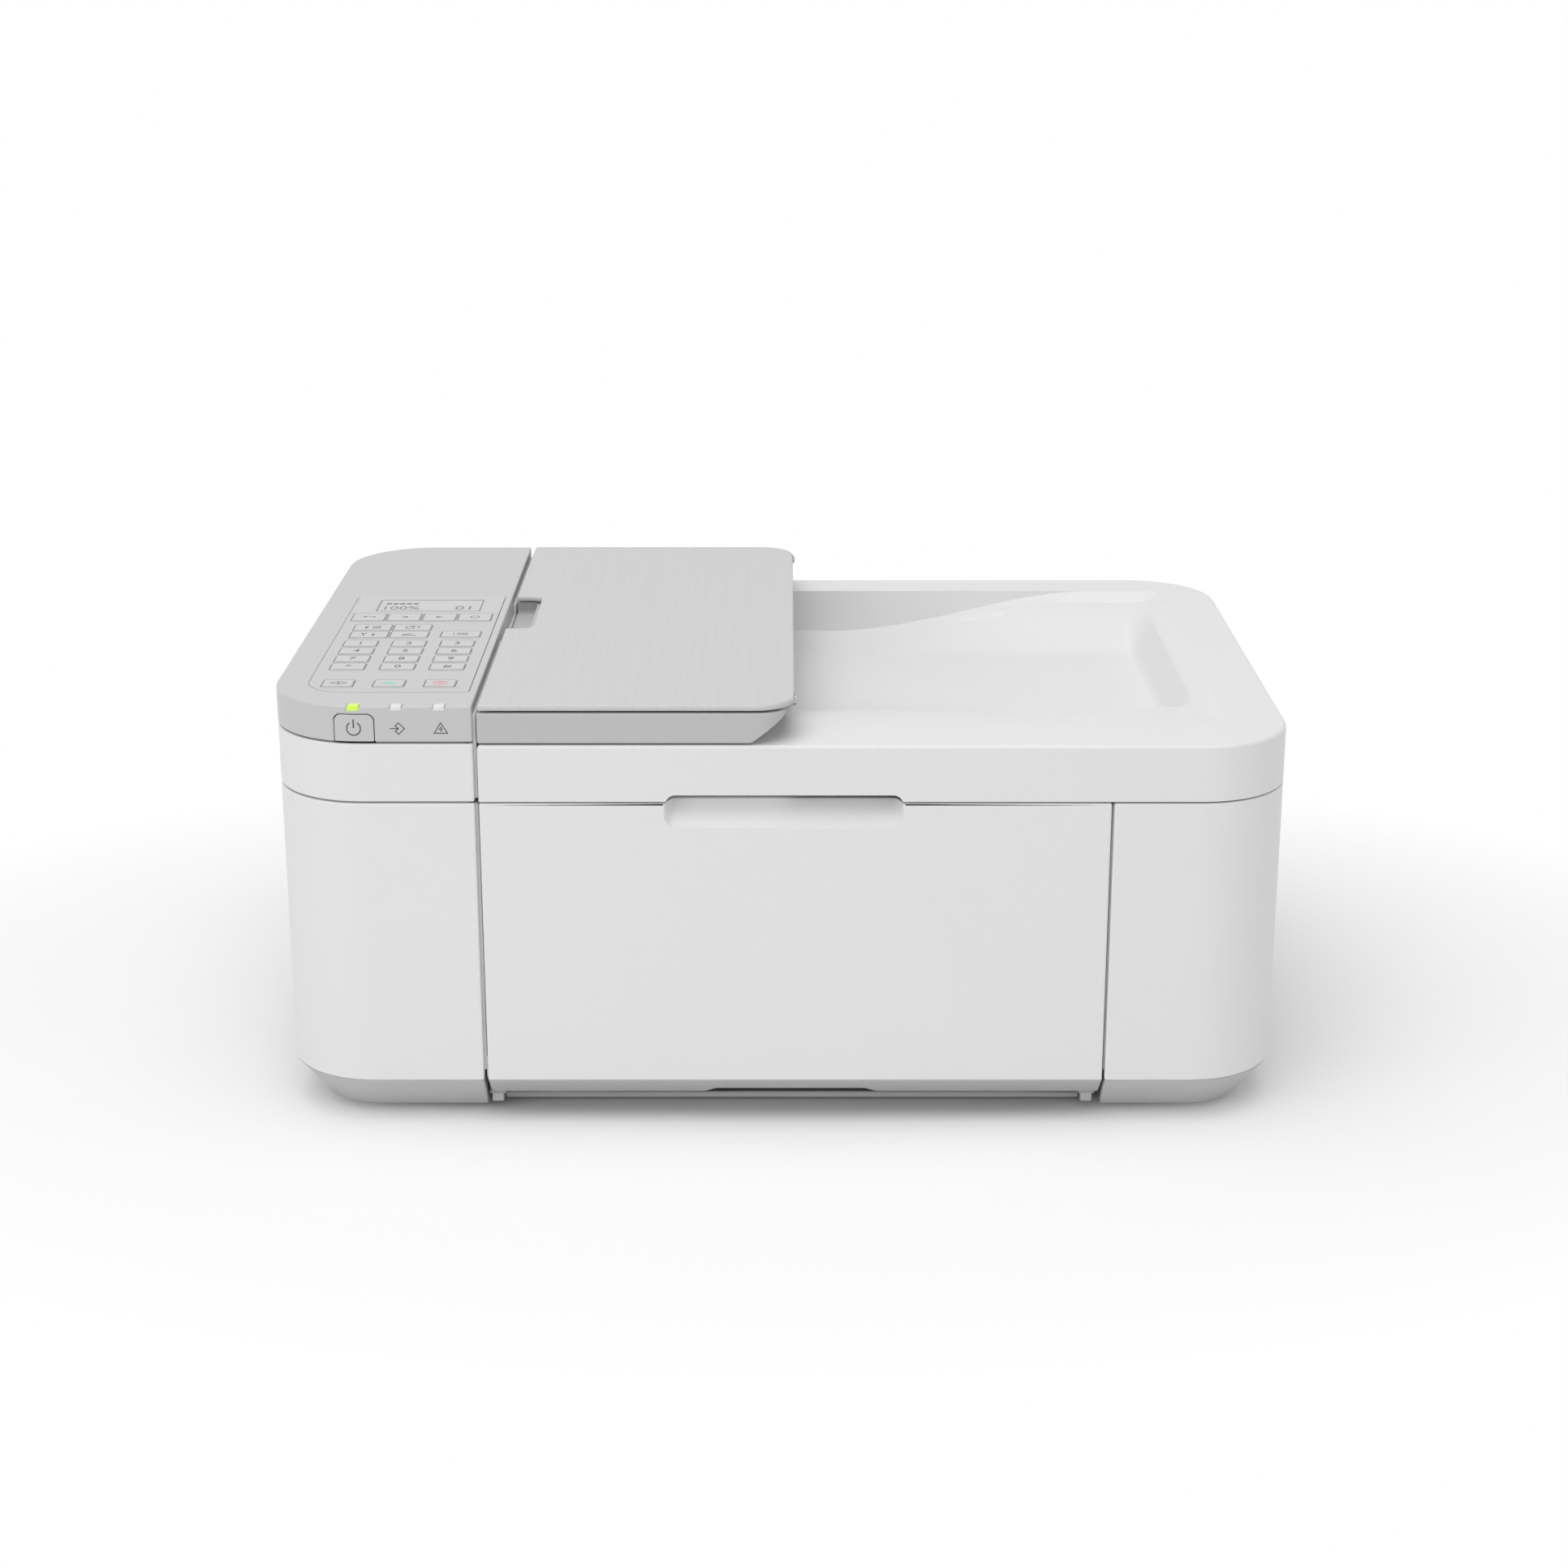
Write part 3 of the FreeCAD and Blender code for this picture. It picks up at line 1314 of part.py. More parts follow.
def make_feeder_base():
    """Grey feeder body: bevelled right end, sheet path, lid hinge lugs and roller bearings."""
    top = prism("xz", [
        (cover_left, feeder_bottom),
        (feeder_right - d.bevel_run, feeder_bottom),
        (feeder_right, bevel_top),
        (feeder_right, feeder_top),
        (cover_left, feeder_top),
    ], *feeder_y)
    around = (feeder_bottom - OVER, feeder_top + OVER)
    round_end = slab("xy", (cover_left, feeder_right), feeder_y, around, d.feeder_radius)
    square_end = box((cover_left, cover_left + d.feeder_radius * 2), feeder_y, around)
    top = shared(top, fuse(round_end, square_end))
    body = box((body_left, body_right), (-body_half, body_half),
               (recess_floor, feeder_bottom + OVER))
    skin = d.feeder_wall
    cavity = box((body_left + skin, body_right - skin), (-body_half + skin, body_half - skin),
                 (feeder_floor, feeder_top + OVER))
    channel = box((channel_x, lid_right), (-channel_half, channel_half), around)
    exit_slot = box((body_right - skin - OVER, body_right + OVER), (-exit_half, exit_half),
                    (exit_bottom, exit_top))
    finger = box((cover_left - OVER, body_left + OVER), (d.notch_front - skin, d.notch_back + skin),
                 (feeder_top - d.notch_drop, feeder_top + OVER))
    lugs = []
    lug_z = (lid_axis_z - lid_lug_radius, feeder_top)
    for centre in ear_centres:
        for y in lid_lug_spans(centre):
            lugs.append(box((channel_x - OVER, lid_axis_x), y, lug_z))
            lugs.append(rod("y", lid_axis, *y, lid_lug_radius))
        reach = d.lid_ear_half + d.side_gap * 2
        lugs.append(rod("y", lid_axis, centre - reach, centre + reach, d.small_pin_radius))
    bearing_half = d.pick_shaft + d.wall
    posts = []
    for side in (-1, 1):
        posts.append(box((pick_x - bearing_half, pick_x + bearing_half),
                         mirrored(side, d.pick_post, d.pick_post + skin),
                         (feeder_floor, pick_z + bearing_half)))
    bore = rod("y", (pick_x, pick_z), -body_half + skin * 2, body_half - skin * 2,
               d.pick_shaft + d.pin_clearance)
    shell = cut(fuse(top, body), cavity, channel, exit_slot, finger)
    keep(cut(fuse(shell, *lugs, *posts), bore), "feeder_base")


def make_feeder_lid():
    """Grey top plate that flips over to the right and becomes the document tray."""
    z = (lid_under, d.height)
    plate = slab("xy", (lid_left, lid_right), feeder_y, z, d.lid_radius)
    square_end = box((lid_left, lid_left + d.lid_radius * 2), feeder_y, z)
    lip = box((lid_right - d.lid_lip_width, lid_right), (-lid_lip_half, lid_lip_half),
              (lid_lip_bottom, d.height - d.lid_thickness / 2))
    notch = slab("xy", (lid_left - d.notch_width, lid_left + d.notch_width), (d.notch_front, d.notch_back),
                 (lid_under - OVER, d.height + OVER), d.notch_radius)
    ears = []
    rooms = []
    room_radius = lid_lug_radius + d.side_gap
    for centre in ear_centres:
        y = (centre - d.lid_ear_half, centre + d.lid_ear_half)
        ears.append(box((lid_axis_x - d.lid_ear_radius, lid_axis_x + d.lid_ear_radius), y,
                        (lid_axis_z, d.height - d.lid_thickness / 2)))
        ears.append(rod("y", lid_axis, *y, d.lid_ear_radius))
        for low, high in lid_lug_spans(centre):
            rooms.append(rod("y", lid_axis, low - d.side_gap, high + d.side_gap, room_radius))
    bore = rod("y", lid_axis, -channel_half, channel_half, d.small_pin_radius + d.pin_clearance)
    groove_half = d.docguide_stem / 2 + d.nest_gap
    outer_end = docguide_y + d.docguide_thickness + d.nest_gap
    inner_end = docguide_y - d.docguide_foot - d.docguide_travel - d.nest_gap
    groove_x = (stem_x - groove_half, stem_x + groove_half)
    groove_z = (lid_under - OVER, lid_under + d.docguide_groove)
    grooves = [box(groove_x, mirrored(side, inner_end, outer_end), groove_z) for side in (-1, 1)]
    leaf = cut(fuse(plate, square_end, lip), *rooms)
    keep(cut(fuse(leaf, *ears), notch, bore, *grooves), "feeder_lid")


def make_document_guides():
    """Two fences under the lid, each with a stem in the lid's groove."""
    x = (docguide_left, docguide_right)
    high = lid_under - d.nest_gap
    for label, side in (("document_guide_front", -1), ("document_guide_rear", 1)):
        far = docguide_y + d.docguide_thickness
        fence_y = mirrored(side, docguide_y, far)
        foot_y = mirrored(side, docguide_y - d.docguide_foot, far)
        fence = box(x, fence_y, (high - d.docguide_drop, high))
        foot = box(x, foot_y, (high - d.docguide_thickness, high))
        stem = box((stem_x - d.docguide_stem / 2, stem_x + d.docguide_stem / 2), foot_y,
                   (high - d.docguide_thickness, lid_under + d.docguide_groove - d.nest_gap))
        keep(fuse(fence, foot, stem), label)


def make_feeder_roller():
    """Pick-up roller on its shaft in the feeder's bearings."""
    end = d.pick_post + d.feeder_wall * 2
    shaft = rod("y", (pick_x, pick_z), -end, end, d.pick_shaft)
    tyre = rod("y", (pick_x, pick_z), -d.pick_half, d.pick_half, d.pick_radius)
    keep(fuse(shaft, tyre), "feeder_roller")


# Control panel


def key_places():
    """Label and x, y limits of each key on top of the panel."""
    places = []
    wide = d.nav_pitch - d.key_spacing
    for i, name in enumerate(("back", "left", "right", "enter")):
        low = nav_left + i * d.nav_pitch
        places.append((f"{name}_key", (low, low + wide), (nav_front, nav_front + d.nav_depth)))
    for i, name in enumerate(("setup", "scan", "fax", "copy")):
        low_x = mode_left + (i % 2) * d.mode_pitch_x
        low_y = mode_front + (i // 2) * d.mode_pitch_y
        places.append((f"{name}_key", (low_x, low_x + d.mode_pitch_x - d.key_spacing),
                       (low_y, low_y + d.mode_pitch_y - d.key_spacing)))
    places.append(("menu_key", (menu_left, menu_right), (menu_front, menu_back)))
    for i, name in enumerate(("1", "2", "3", "4", "5", "6", "7", "8", "9", "star", "0", "hash")):
        low_x = digit_left + (i % 3) * d.digit_pitch_x
        high_y = digit_back - (i // 3) * d.digit_pitch_y
        places.append((f"number_key_{name}", (low_x, low_x + d.digit_width),
                       (high_y - d.digit_depth, high_y)))
    for i, name in enumerate(("start_black", "start_colour", "stop")):
        low = action_left + i * d.action_pitch
        places.append((f"{name}_key", (low, low + d.action_width),
                       (action_front, action_front + d.action_depth)))
    return places


keys = key_places()
overlay_z = (panel_top - d.overlay_thickness, panel_top)


def key_holes(z0, z1):
    """Openings for every top key, a clearance wider than the key."""
    gap = d.key_gap
    holes = []
    for _, (x0, x1), (y0, y1) in keys:
        holes.append(slab("xy", (x0 - gap, x1 + gap), (y0 - gap, y1 + gap), (z0, z1), d.key_radius + gap))
    return holes


def overlay(grow, z):
    """The key sheet's outline: small corners, with one large corner at the front left."""
    x0 = overlay_left - grow
    y0 = overlay_front - grow
    small = slab("xy", (x0, overlay_right + grow), (y0, overlay_back + grow), z, d.overlay_radius)
    far = d.overlay_corner * 4
    large = slab("xy", (x0, overlay_right + far), (y0, overlay_back + far), z, d.overlay_corner)
    return shared(small, large)


def display(grow, z):
    """The display's outline."""
    x = (display_left - grow, display_right + grow)
    y = (display_front - grow, display_back + grow)
    return slab("xy", x, y, z, d.overlay_radius)


def lamp_blocks():
    """The three light pipes at the front edge of the panel."""
    blocks = []
    for i in range(3):
        middle = lamp_first + i * d.lamp_pitch
        blocks.append(box((middle - d.lamp_width / 2, middle + d.lamp_width / 2),
                          (front - OVER, front + d.lamp_depth), (panel_top - d.lamp_drop, panel_top + OVER)))
    return fuse(*blocks)


def power_key_block(grow, depth):
    """The power key's outline on the front band, run back by a depth."""
    return slab("xz", (power_key_left - grow, power_key_right + grow),
                (deck_z - d.power_key_radius * 2, power_key_top + grow), (front - OVER, front + depth),
                d.power_key_radius)


def make_panel_case():
    """Grey panel housing with a lip that drops into the white band."""
    z = (deck_z - OVER, panel_top + OVER)
    low_z = (band_ledge - OVER, panel_top + OVER)
    outer = left_of(plan(deck_z, panel_top), panel_right, z)
    hollow = left_of(plan(deck_z - OVER, panel_top - d.panel_plate, d.wall), panel_right - d.wall, z)
    lip_inside = d.wall * 2 + d.nest_gap
    lip_z = (band_ledge, deck_z + d.wall)
    lip_end = panel_right - frame_inset
    lip = left_of(cut(plan(*lip_z, frame_inset), plan(*low_z, lip_inside)), lip_end, low_z)
    tie_z = (deck_z, deck_z + d.wall)
    tie = left_of(cut(plan(*tie_z, d.wall / 2), plan(*low_z, lip_inside)), lip_end, low_z)
    top_holes = key_holes(deck_z + d.wall, panel_top + OVER)
    seat = overlay(d.display_fit, (overlay_z[0], panel_top + OVER))
    shell = fuse(cut(outer, hollow), lip, tie)
    power_hole = power_key_block(d.key_gap, d.power_key_depth + d.wall)
    keep(cut(shell, seat, lamp_blocks(), power_hole, *top_holes), "panel_case")


def make_key_sheet():
    """Thin overlay in the panel's seat, open over the keys and the display."""
    over_z = (overlay_z[0] - OVER, panel_top + OVER)
    keep(cut(overlay(0.0, overlay_z), display(d.display_fit, over_z), *key_holes(*over_z)), "key_sheet")


def make_display_window():
    """Display behind its clear window, flush with the key sheet."""
    keep(display(0.0, overlay_z), "display_window")


def make_indicator_lamps():
    """Three light pipes, cut to the panel's round front."""
    keep(shared(plan(panel_top - d.lamp_drop, panel_top), lamp_blocks()), "indicator_lamps")


def make_keys():
    """The power key on the front band, then every key on top."""
    front_skin = plan(deck_z + d.side_gap, panel_top)
    keep(shared(front_skin, power_key_block(0.0, d.power_key_depth)), "power_key")
    for label, x, y in keys:
        keep(slab("xy", x, y, (d.height - d.key_depth, d.height), d.key_radius), label)


# Build, test and write

make_base_housing()
make_outer_case()
make_rear_cover()
make_feet()
make_screws()
make_front_door()
make_output_stop()
make_paper_guides()
make_inner_cover()
make_chassis()
make_rollers()
make_carriage()
make_ink_cartridges()
make_belt_drive()
make_maintenance_cap()
make_power_unit()
make_main_board()
make_scanner_frame()
make_platen_glass()
make_scan_unit()
make_document_cover()
make_pressure_pad()
make_feeder_base()
make_feeder_lid()
make_document_guides()
make_feeder_roller()
make_panel_case()
make_key_sheet()
make_display_window()
make_indicator_lamps()
make_keys()
doc.recompute()

for item in doc.Objects:
    if "Invalid" in item.State or "Error" in item.State:
        raise RuntimeError(f"{item.Label} ({item.TypeId}) could not be built")
for label, item in nodes.items():
    if item.Shape.isNull() or not item.Shape.isValid() or not item.Shape.Solids:
        raise RuntimeError(f"{label} has no valid solid")

os.makedirs("parts", exist_ok=True)
for label, item in nodes.items():
    item.Shape.exportStep(f"parts/{label}.step")
    extent = item.Shape.BoundBox
    spans = (extent.XMin, extent.XMax, extent.YMin, extent.YMax, extent.ZMin, extent.ZMax)
    print(label, len(item.Shape.Solids), f"{item.Shape.Volume:.0f} mm3", [round(span, 1) for span in spans])
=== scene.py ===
"""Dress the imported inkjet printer: finishes, printed marks, softened forms and a plain studio."""
import math

import bmesh
import bpy
from bpy.props import FloatProperty, FloatVectorProperty, PointerProperty
from bpy.types import Operator, Panel, PropertyGroup, Scene
from mathutils import Matrix, Vector


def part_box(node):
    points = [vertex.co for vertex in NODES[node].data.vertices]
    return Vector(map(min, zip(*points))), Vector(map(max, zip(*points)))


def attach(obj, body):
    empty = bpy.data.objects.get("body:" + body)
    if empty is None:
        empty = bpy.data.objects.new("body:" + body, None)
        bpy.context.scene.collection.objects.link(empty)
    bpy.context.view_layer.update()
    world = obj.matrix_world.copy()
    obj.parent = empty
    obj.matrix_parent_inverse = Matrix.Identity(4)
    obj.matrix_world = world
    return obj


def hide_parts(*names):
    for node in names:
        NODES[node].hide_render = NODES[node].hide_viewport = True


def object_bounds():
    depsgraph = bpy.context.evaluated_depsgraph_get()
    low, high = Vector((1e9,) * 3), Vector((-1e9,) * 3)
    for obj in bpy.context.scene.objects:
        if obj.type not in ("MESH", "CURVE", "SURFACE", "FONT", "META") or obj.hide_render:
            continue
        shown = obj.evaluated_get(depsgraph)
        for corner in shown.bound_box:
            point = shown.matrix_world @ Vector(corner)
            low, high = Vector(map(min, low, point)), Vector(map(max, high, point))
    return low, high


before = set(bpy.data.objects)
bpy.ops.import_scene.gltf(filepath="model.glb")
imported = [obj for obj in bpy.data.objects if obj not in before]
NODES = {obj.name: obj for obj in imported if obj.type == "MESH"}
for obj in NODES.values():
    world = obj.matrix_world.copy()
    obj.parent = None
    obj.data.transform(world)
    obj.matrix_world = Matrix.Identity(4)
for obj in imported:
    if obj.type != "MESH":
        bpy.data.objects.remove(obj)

bl_info = {
    "name": "Inkjet Printer Dressing",
    "version": (1, 0, 0),
    "blender": (4, 5, 0),
    "location": "3D View > Sidebar > Printer",
    "description": "Finishes, printed marks and studio for the packed inkjet printer",
    "category": "Object",
}

CAD_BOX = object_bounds()
MM = 0.001
WHITE = (1.0, 1.0, 1.0, 1.0)
BLACK = (0.0, 0.0, 0.0, 1.0)

# Points nearer than this are one point
CLOSE = 0.001 * MM

# Places where a finish changes colour: the door's lip, greyed as painted shade, the rear sockets and the
# lit lamp
DOOR_SHADE_Z = 20.4 * MM
SOCKET_Y = 128.0 * MM
LIT_LAMP_X = -170.0 * MM

# Roundings of small pieces, and angles that make an edge or a crease
SCREW_EDGE = 0.15 * MM
FILM_EDGE = 0.08 * MM
GLASS_EDGE = 0.3 * MM
GEAR_EDGE = 0.12 * MM
EDGE_ANGLE = math.radians(32.0)
SMALL_CREASE = 50.0
ROUND_CREASE = 40.0

# Plates that stop the view into the gaps, in millimetres
GAP_LININGS = (
    ((-130.1, -144.6, 24.0), (-128.6, -130.0, 146.0)),
    ((139.7, -144.6, 24.0), (140.7, -130.0, 146.0)),
    ((-130.1, -144.6, 148.5), (-128.6, -22.2, 185.0)),
    ((-130.1, -22.0, 148.5), (-128.6, 44.5, 180.5)),
    ((-130.1, 44.7, 148.5), (-128.6, 144.0, 185.0)),
)
NOTCH_LINING = (((-116.2, -20.0, 178.0), (-114.2, 42.5, 187.0)),)
LINING_EDGE = 0.25 * MM

# Lamp lenses, and the round front left corner that the power mark follows
LAMP_PLACES = (-179.5 * MM, -161.5 * MM, -143.5 * MM)
LAMP_HALF = 2.3 * MM
LAMP_PROUD = 0.06 * MM
LAMP_DROP = 1.0 * MM
LAMP_EDGE = 0.45 * MM
CASE_CORNER_X = -177.5 * MM
CASE_RADIUS = 40.0 * MM


def tint(name, description, default):
    """Return a colour property."""
    return FloatVectorProperty(name=name, description=description, subtype="COLOR", size=3,
                               min=0.0, max=1.0, default=default)


def measure(name, description, millimetres):
    """Return a length property with a default in millimetres."""
    return FloatProperty(name=name, description=description, unit="LENGTH", min=0.0, precision=5,
                         default=millimetres * MM)


class PrinterColours(PropertyGroup):
    """Colours of the printer's finishes."""

    casing: tint("Casing", "White of the case, door and covers", (0.79, 0.79, 0.79))
    panel: tint("Panel", "Grey of the control panel", (0.568, 0.568, 0.571))
    feeder: tint("Feeder", "Grey of the feeder under its lid", (0.510, 0.510, 0.513))
    lid: tint("Lid", "Grey of the lined feeder lid", (0.585, 0.585, 0.588))
    # The skirt grey is painted shade: the bevelled base is white plastic, greyed for the shade on its
    # downward-facing chamfer
    skirt: tint("Skirt", "Grey of the bevelled base", (0.50, 0.50, 0.503))
    overlay: tint("Overlay", "Film that carries the keys", (0.56, 0.56, 0.564))
    key: tint("Keys", "Faces of the keys", (0.59, 0.59, 0.592))
    inner: tint("Inside", "Dark plastic of the paper path", (0.045, 0.046, 0.050))
    black: tint("Black", "Black plastic of the carriage", (0.018, 0.018, 0.020))
    rubber: tint("Rubber", "Feet, belt and rollers", (0.028, 0.028, 0.029))
    steel: tint("Steel", "Plated sheet steel", (0.60, 0.61, 0.62))
    gear: tint("Gears", "Acetal of the gears", (0.66, 0.65, 0.60))
    contact: tint("Contacts", "Plating of pins and contacts", (0.78, 0.62, 0.33))
    board: tint("Board", "Lacquered circuit board", (0.010, 0.085, 0.040))
    foam: tint("Pad", "White film over the pressure pad", (0.80, 0.80, 0.79))
    display: tint("Display", "Dark display film", (0.50, 0.505, 0.50))
    ink: tint("Ink", "Printed marks", (0.085, 0.085, 0.088))
    key_line: tint("Key line", "Outlines printed on the keys", (0.27, 0.27, 0.275))
    display_strip: tint("Display strip", "Film around the display", (0.50, 0.50, 0.503))
    # This ink also draws the dark line of painted shade around the display window's edge
    figure: tint("Figures", "Figures in the display", (0.20, 0.20, 0.205))
    lamp: tint("Lamp", "Unlit lamp lens", (0.78, 0.78, 0.78))
    lamp_lit: tint("Lit lamp", "Glow of the power lamp", (0.50, 0.76, 0.07))
    start: tint("Start mark", "Green of the start mark", (0.33, 0.66, 0.53))
    stop: tint("Stop mark", "Red of the stop mark", (0.74, 0.26, 0.29))
    floor: tint("Floor", "Studio floor", (0.92, 0.92, 0.92))


class PrinterSizes(PropertyGroup):
    """Sizes of the softened edges, the document hollow and the printed marks."""

    case_edge: measure("Case edge", "Rounding of the large mouldings", 0.8)
    cover_edge: measure("Cover edge", "Rounding of the cover's outer edge", 1.8)
    lid_edge: measure("Lid edge", "Rounding of the feeder lid", 1.0)
    key_edge: measure("Key edge", "Rounding of the key faces", 0.35)
    inner_edge: measure("Inner edge", "Rounding of inner pieces", 0.4)
    mark_height: measure("Mark height", "Thickness of printed ink", 0.04)
    hollow_depth: measure("Hollow depth", "Deepest point of the hollow", 20.8)
    hollow_right: measure("Hollow right", "Right edge of the hollow from the centre", 191.2)
    hollow_front: measure("Hollow front", "Front edge of the hollow from the centre", 117.4)
    hollow_back: measure("Hollow back", "Back edge of the hollow from the centre", 122.6)
    hollow_bevel: measure("Hollow bevel", "Width of the right edge's bevel", 6.5)
    hollow_step: measure("Hollow step", "Depth of that bevel", 4.0)
    hollow_ramp: measure("Hollow ramp", "Run of the ramp behind the front edge", 115.0)
    hollow_shelf: measure("Hollow shelf", "Run of the slope at the back", 48.0)
    pad_round: measure("Pad rounding", "Soft edge of the pad", 0.5)
    floor_width: measure("Floor width", "Side of the floor", 40000.0)


def colours():
    """Return the scene's printer colours."""
    return bpy.context.scene.printer_colours


def sizes():
    """Return the scene's printer sizes."""
    return bpy.context.scene.printer_sizes


# Shader nodes and groups

BROAD_SCALE = 14.0
LINE_STRETCH = 0.012
LINE_RELIEF = 3.0
RELIEF_DISTANCE = 0.4 * MM
LEVEL_SOFTNESS = 0.2 * MM
LAMP_GLOW = 0.35
GLASS_TINT = (0.93, 0.96, 0.95)
GLASS_INDEX = 1.5


def feed(tree, node, values):
    """Give a node's inputs their values, and link those that are sockets."""
    for key, value in values.items():
        if isinstance(value, bpy.types.NodeSocket):
            tree.links.new(value, node.inputs[key])
        else:
            node.inputs[key].default_value = value


def new_node(tree, kind, values, **settings):
    """Add a shader node of a kind, set its properties and feed its inputs."""
    node = tree.nodes.new("ShaderNode" + kind)
    for key, value in settings.items():
        setattr(node, key, value)
    feed(tree, node, values)
    return node


def math_node(tree, operation, *values):
    """Add a math node whose inputs are numbers or sockets, and return its output."""
    return new_node(tree, "Math", dict(enumerate(values)), operation=operation).outputs[0]


def noise_node(tree, vector, scale, detail):
    """Add a noise texture and return its value output."""
    values = {"Vector": vector, "Scale": scale, "Detail": detail}
    return new_node(tree, "TexNoise", values).outputs["Fac"]


def clamped(tree, value):
    """Keep a value between nought and one."""
    return new_node(tree, "Clamp", {"Value": value}).outputs[0]


def shaded(tree, colour, factor):
    """Multiply a colour's brightness by a value."""
    values = {"Color": colour, "Value": factor}
    return new_node(tree, "HueSaturation", values).outputs["Color"]


def blended(tree, factor, first, second):
    """Mix two colours by a value and return the result."""
    mix = new_node(tree, "Mix", {"Factor": factor}, data_type="RGBA")
    ends = [socket for socket in mix.inputs if socket.type == "RGBA"]
    ends[0].default_value = first
    ends[1].default_value = second
    return next(socket for socket in mix.outputs if socket.type == "RGBA")


def mix_shaders(tree, factor, first, second, end):
    """Show one shader or another by a value."""
    mix = new_node(tree, "MixShader", {0: factor, 1: first.outputs[0], 2: second.outputs[0]})
    tree.links.new(mix.outputs[0], end.inputs["Surface"])


def object_place(tree):
    """Return a socket with the place on the object."""
    return new_node(tree, "TexCoord", {}).outputs["Object"]


def split_place(tree):
    """Return sockets with the place on the object along each axis."""
    return new_node(tree, "SeparateXYZ", {0: object_place(tree)}).outputs


def new_group(name, inputs, outputs):
    """Make a shader group of colours and values, and return its tree and end nodes."""
    tree = bpy.data.node_groups.new(name, "ShaderNodeTree")
    for label, default in inputs.items():
        kind = "NodeSocketFloat" if isinstance(default, float) else "NodeSocketColor"
        socket = tree.interface.new_socket(label, in_out="INPUT", socket_type=kind)
        socket.default_value = default
    for label in outputs:
        kind = "NodeSocketColor" if label == "Colour" else "NodeSocketFloat"
        tree.interface.new_socket(label, in_out="OUTPUT", socket_type=kind)
    return tree, tree.nodes.new("NodeGroupInput").outputs, tree.nodes.new("NodeGroupOutput")


def moulded_grain_group():
    """Fine spark texture of a moulded surface, with slow changes of shade and gloss."""
    inputs = {"Colour": WHITE, "Shade Change": 0.02, "Roughness": 0.45, "Gloss Change": 0.1,
              "Grain Scale": 1500.0}
    tree, start, end = new_group("Moulded Grain", inputs, ("Colour", "Roughness", "Height"))
    place = object_place(tree)
    fine = noise_node(tree, place, start["Grain Scale"], 3.0)
    broad = noise_node(tree, place, BROAD_SCALE, 2.0)
    drift = math_node(tree, "SUBTRACT", broad, 0.5)
    shade = math_node(tree, "MULTIPLY_ADD", drift, start["Shade Change"], 1.0)
    gloss = math_node(tree, "SUBTRACT", fine, 0.5)
    rough = math_node(tree, "MULTIPLY_ADD", gloss, start["Gloss Change"], start["Roughness"])
    colour = shaded(tree, start["Colour"], shade)
    feed(tree, end, {"Colour": colour, "Roughness": rough, "Height": fine})
    return tree


def brushed_lines_group():
    """Fine lines that run from front to back."""
    inputs = {"Colour": WHITE, "Depth": 0.03, "Lines Scale": 700.0}
    tree, start, end = new_group("Brushed Lines", inputs, ("Colour", "Height"))
    place = split_place(tree)
    along = math_node(tree, "MULTIPLY", place["Y"], LINE_STRETCH)
    stretch = new_node(tree, "CombineXYZ", {"X": place["X"], "Y": along})
    lines = noise_node(tree, stretch.outputs[0], start["Lines Scale"], 2.0)
    centred = math_node(tree, "SUBTRACT", lines, 0.5)
    shade = math_node(tree, "MULTIPLY_ADD", centred, start["Depth"], 1.0)
    feed(tree, end, {"Colour": shaded(tree, start["Colour"], shade), "Height": lines})
    return tree


def above_group():
    """Mask that is one where an object coordinate lies above a level."""
    inputs = {"Level": 0.0, "Softness": LEVEL_SOFTNESS}
    tree, start, end = new_group("Above Level", inputs, ["Along " + axis for axis in "XYZ"])
    place = split_place(tree)
    for axis in "XYZ":
        over = math_node(tree, "SUBTRACT", place[axis], start["Level"])
        rise = math_node(tree, "DIVIDE", over, start["Softness"])
        feed(tree, end, {"Along " + axis: clamped(tree, rise)})
    return tree


GROUP_MAKERS = {
    "Moulded Grain": moulded_grain_group,
    "Brushed Lines": brushed_lines_group,
    "Above Level": above_group,
}


def place_group(tree, name, values):
    """Place a shader group in a material, building it at first use."""
    group = bpy.data.node_groups.get(name) or GROUP_MAKERS[name]()
    return new_node(tree, "Group", values, node_tree=group)


# Materials

def opaque(colour):
    """Return a colour with full alpha."""
    return (*colour, 1.0)


def moulded(name, colour, roughness, grain=1500.0, bump=0.05, change=0.02, lines=0.0, coat=0.0,
            metallic=0.0):
    """Return a moulded finish with grain, and with fine lines where they are asked for."""
    material = bpy.data.materials.get(name)
    if material:
        return material
    material = bpy.data.materials.new(name)
    material.use_nodes = True
    material.diffuse_color = opaque(colour)
    tree = material.node_tree
    values = {"Colour": opaque(colour), "Shade Change": change, "Roughness": roughness,
              "Grain Scale": grain}
    grain_node = place_group(tree, "Moulded Grain", values)
    shade = grain_node.outputs["Colour"]
    height = grain_node.outputs["Height"]
    if lines:
        line_node = place_group(tree, "Brushed Lines", {"Colour": shade, "Depth": lines})
        shade = line_node.outputs["Colour"]
        height = math_node(tree, "MULTIPLY_ADD", line_node.outputs["Height"], LINE_RELIEF, height)
    values = {"Strength": bump, "Distance": RELIEF_DISTANCE, "Height": height}
    relief = new_node(tree, "Bump", values)
    values = {"Base Color": shade, "Roughness": grain_node.outputs["Roughness"],
              "Normal": relief.outputs["Normal"], "Metallic": metallic, "Coat Weight": coat}
    feed(tree, tree.nodes["Principled BSDF"], values)
    return material


def two_tone(name, lower, upper, level, roughness, axis="Z"):
    """Return a moulded finish that changes colour at a level along an axis."""
    material = moulded(name, upper, roughness)
    tree = material.node_tree
    grain_node = next(node for node in tree.nodes if node.type == "GROUP")
    mask = place_group(tree, "Above Level", {"Level": level}).outputs["Along " + axis]
    feed(tree, grain_node, {"Colour": blended(tree, mask, opaque(lower), opaque(upper))})
    return material


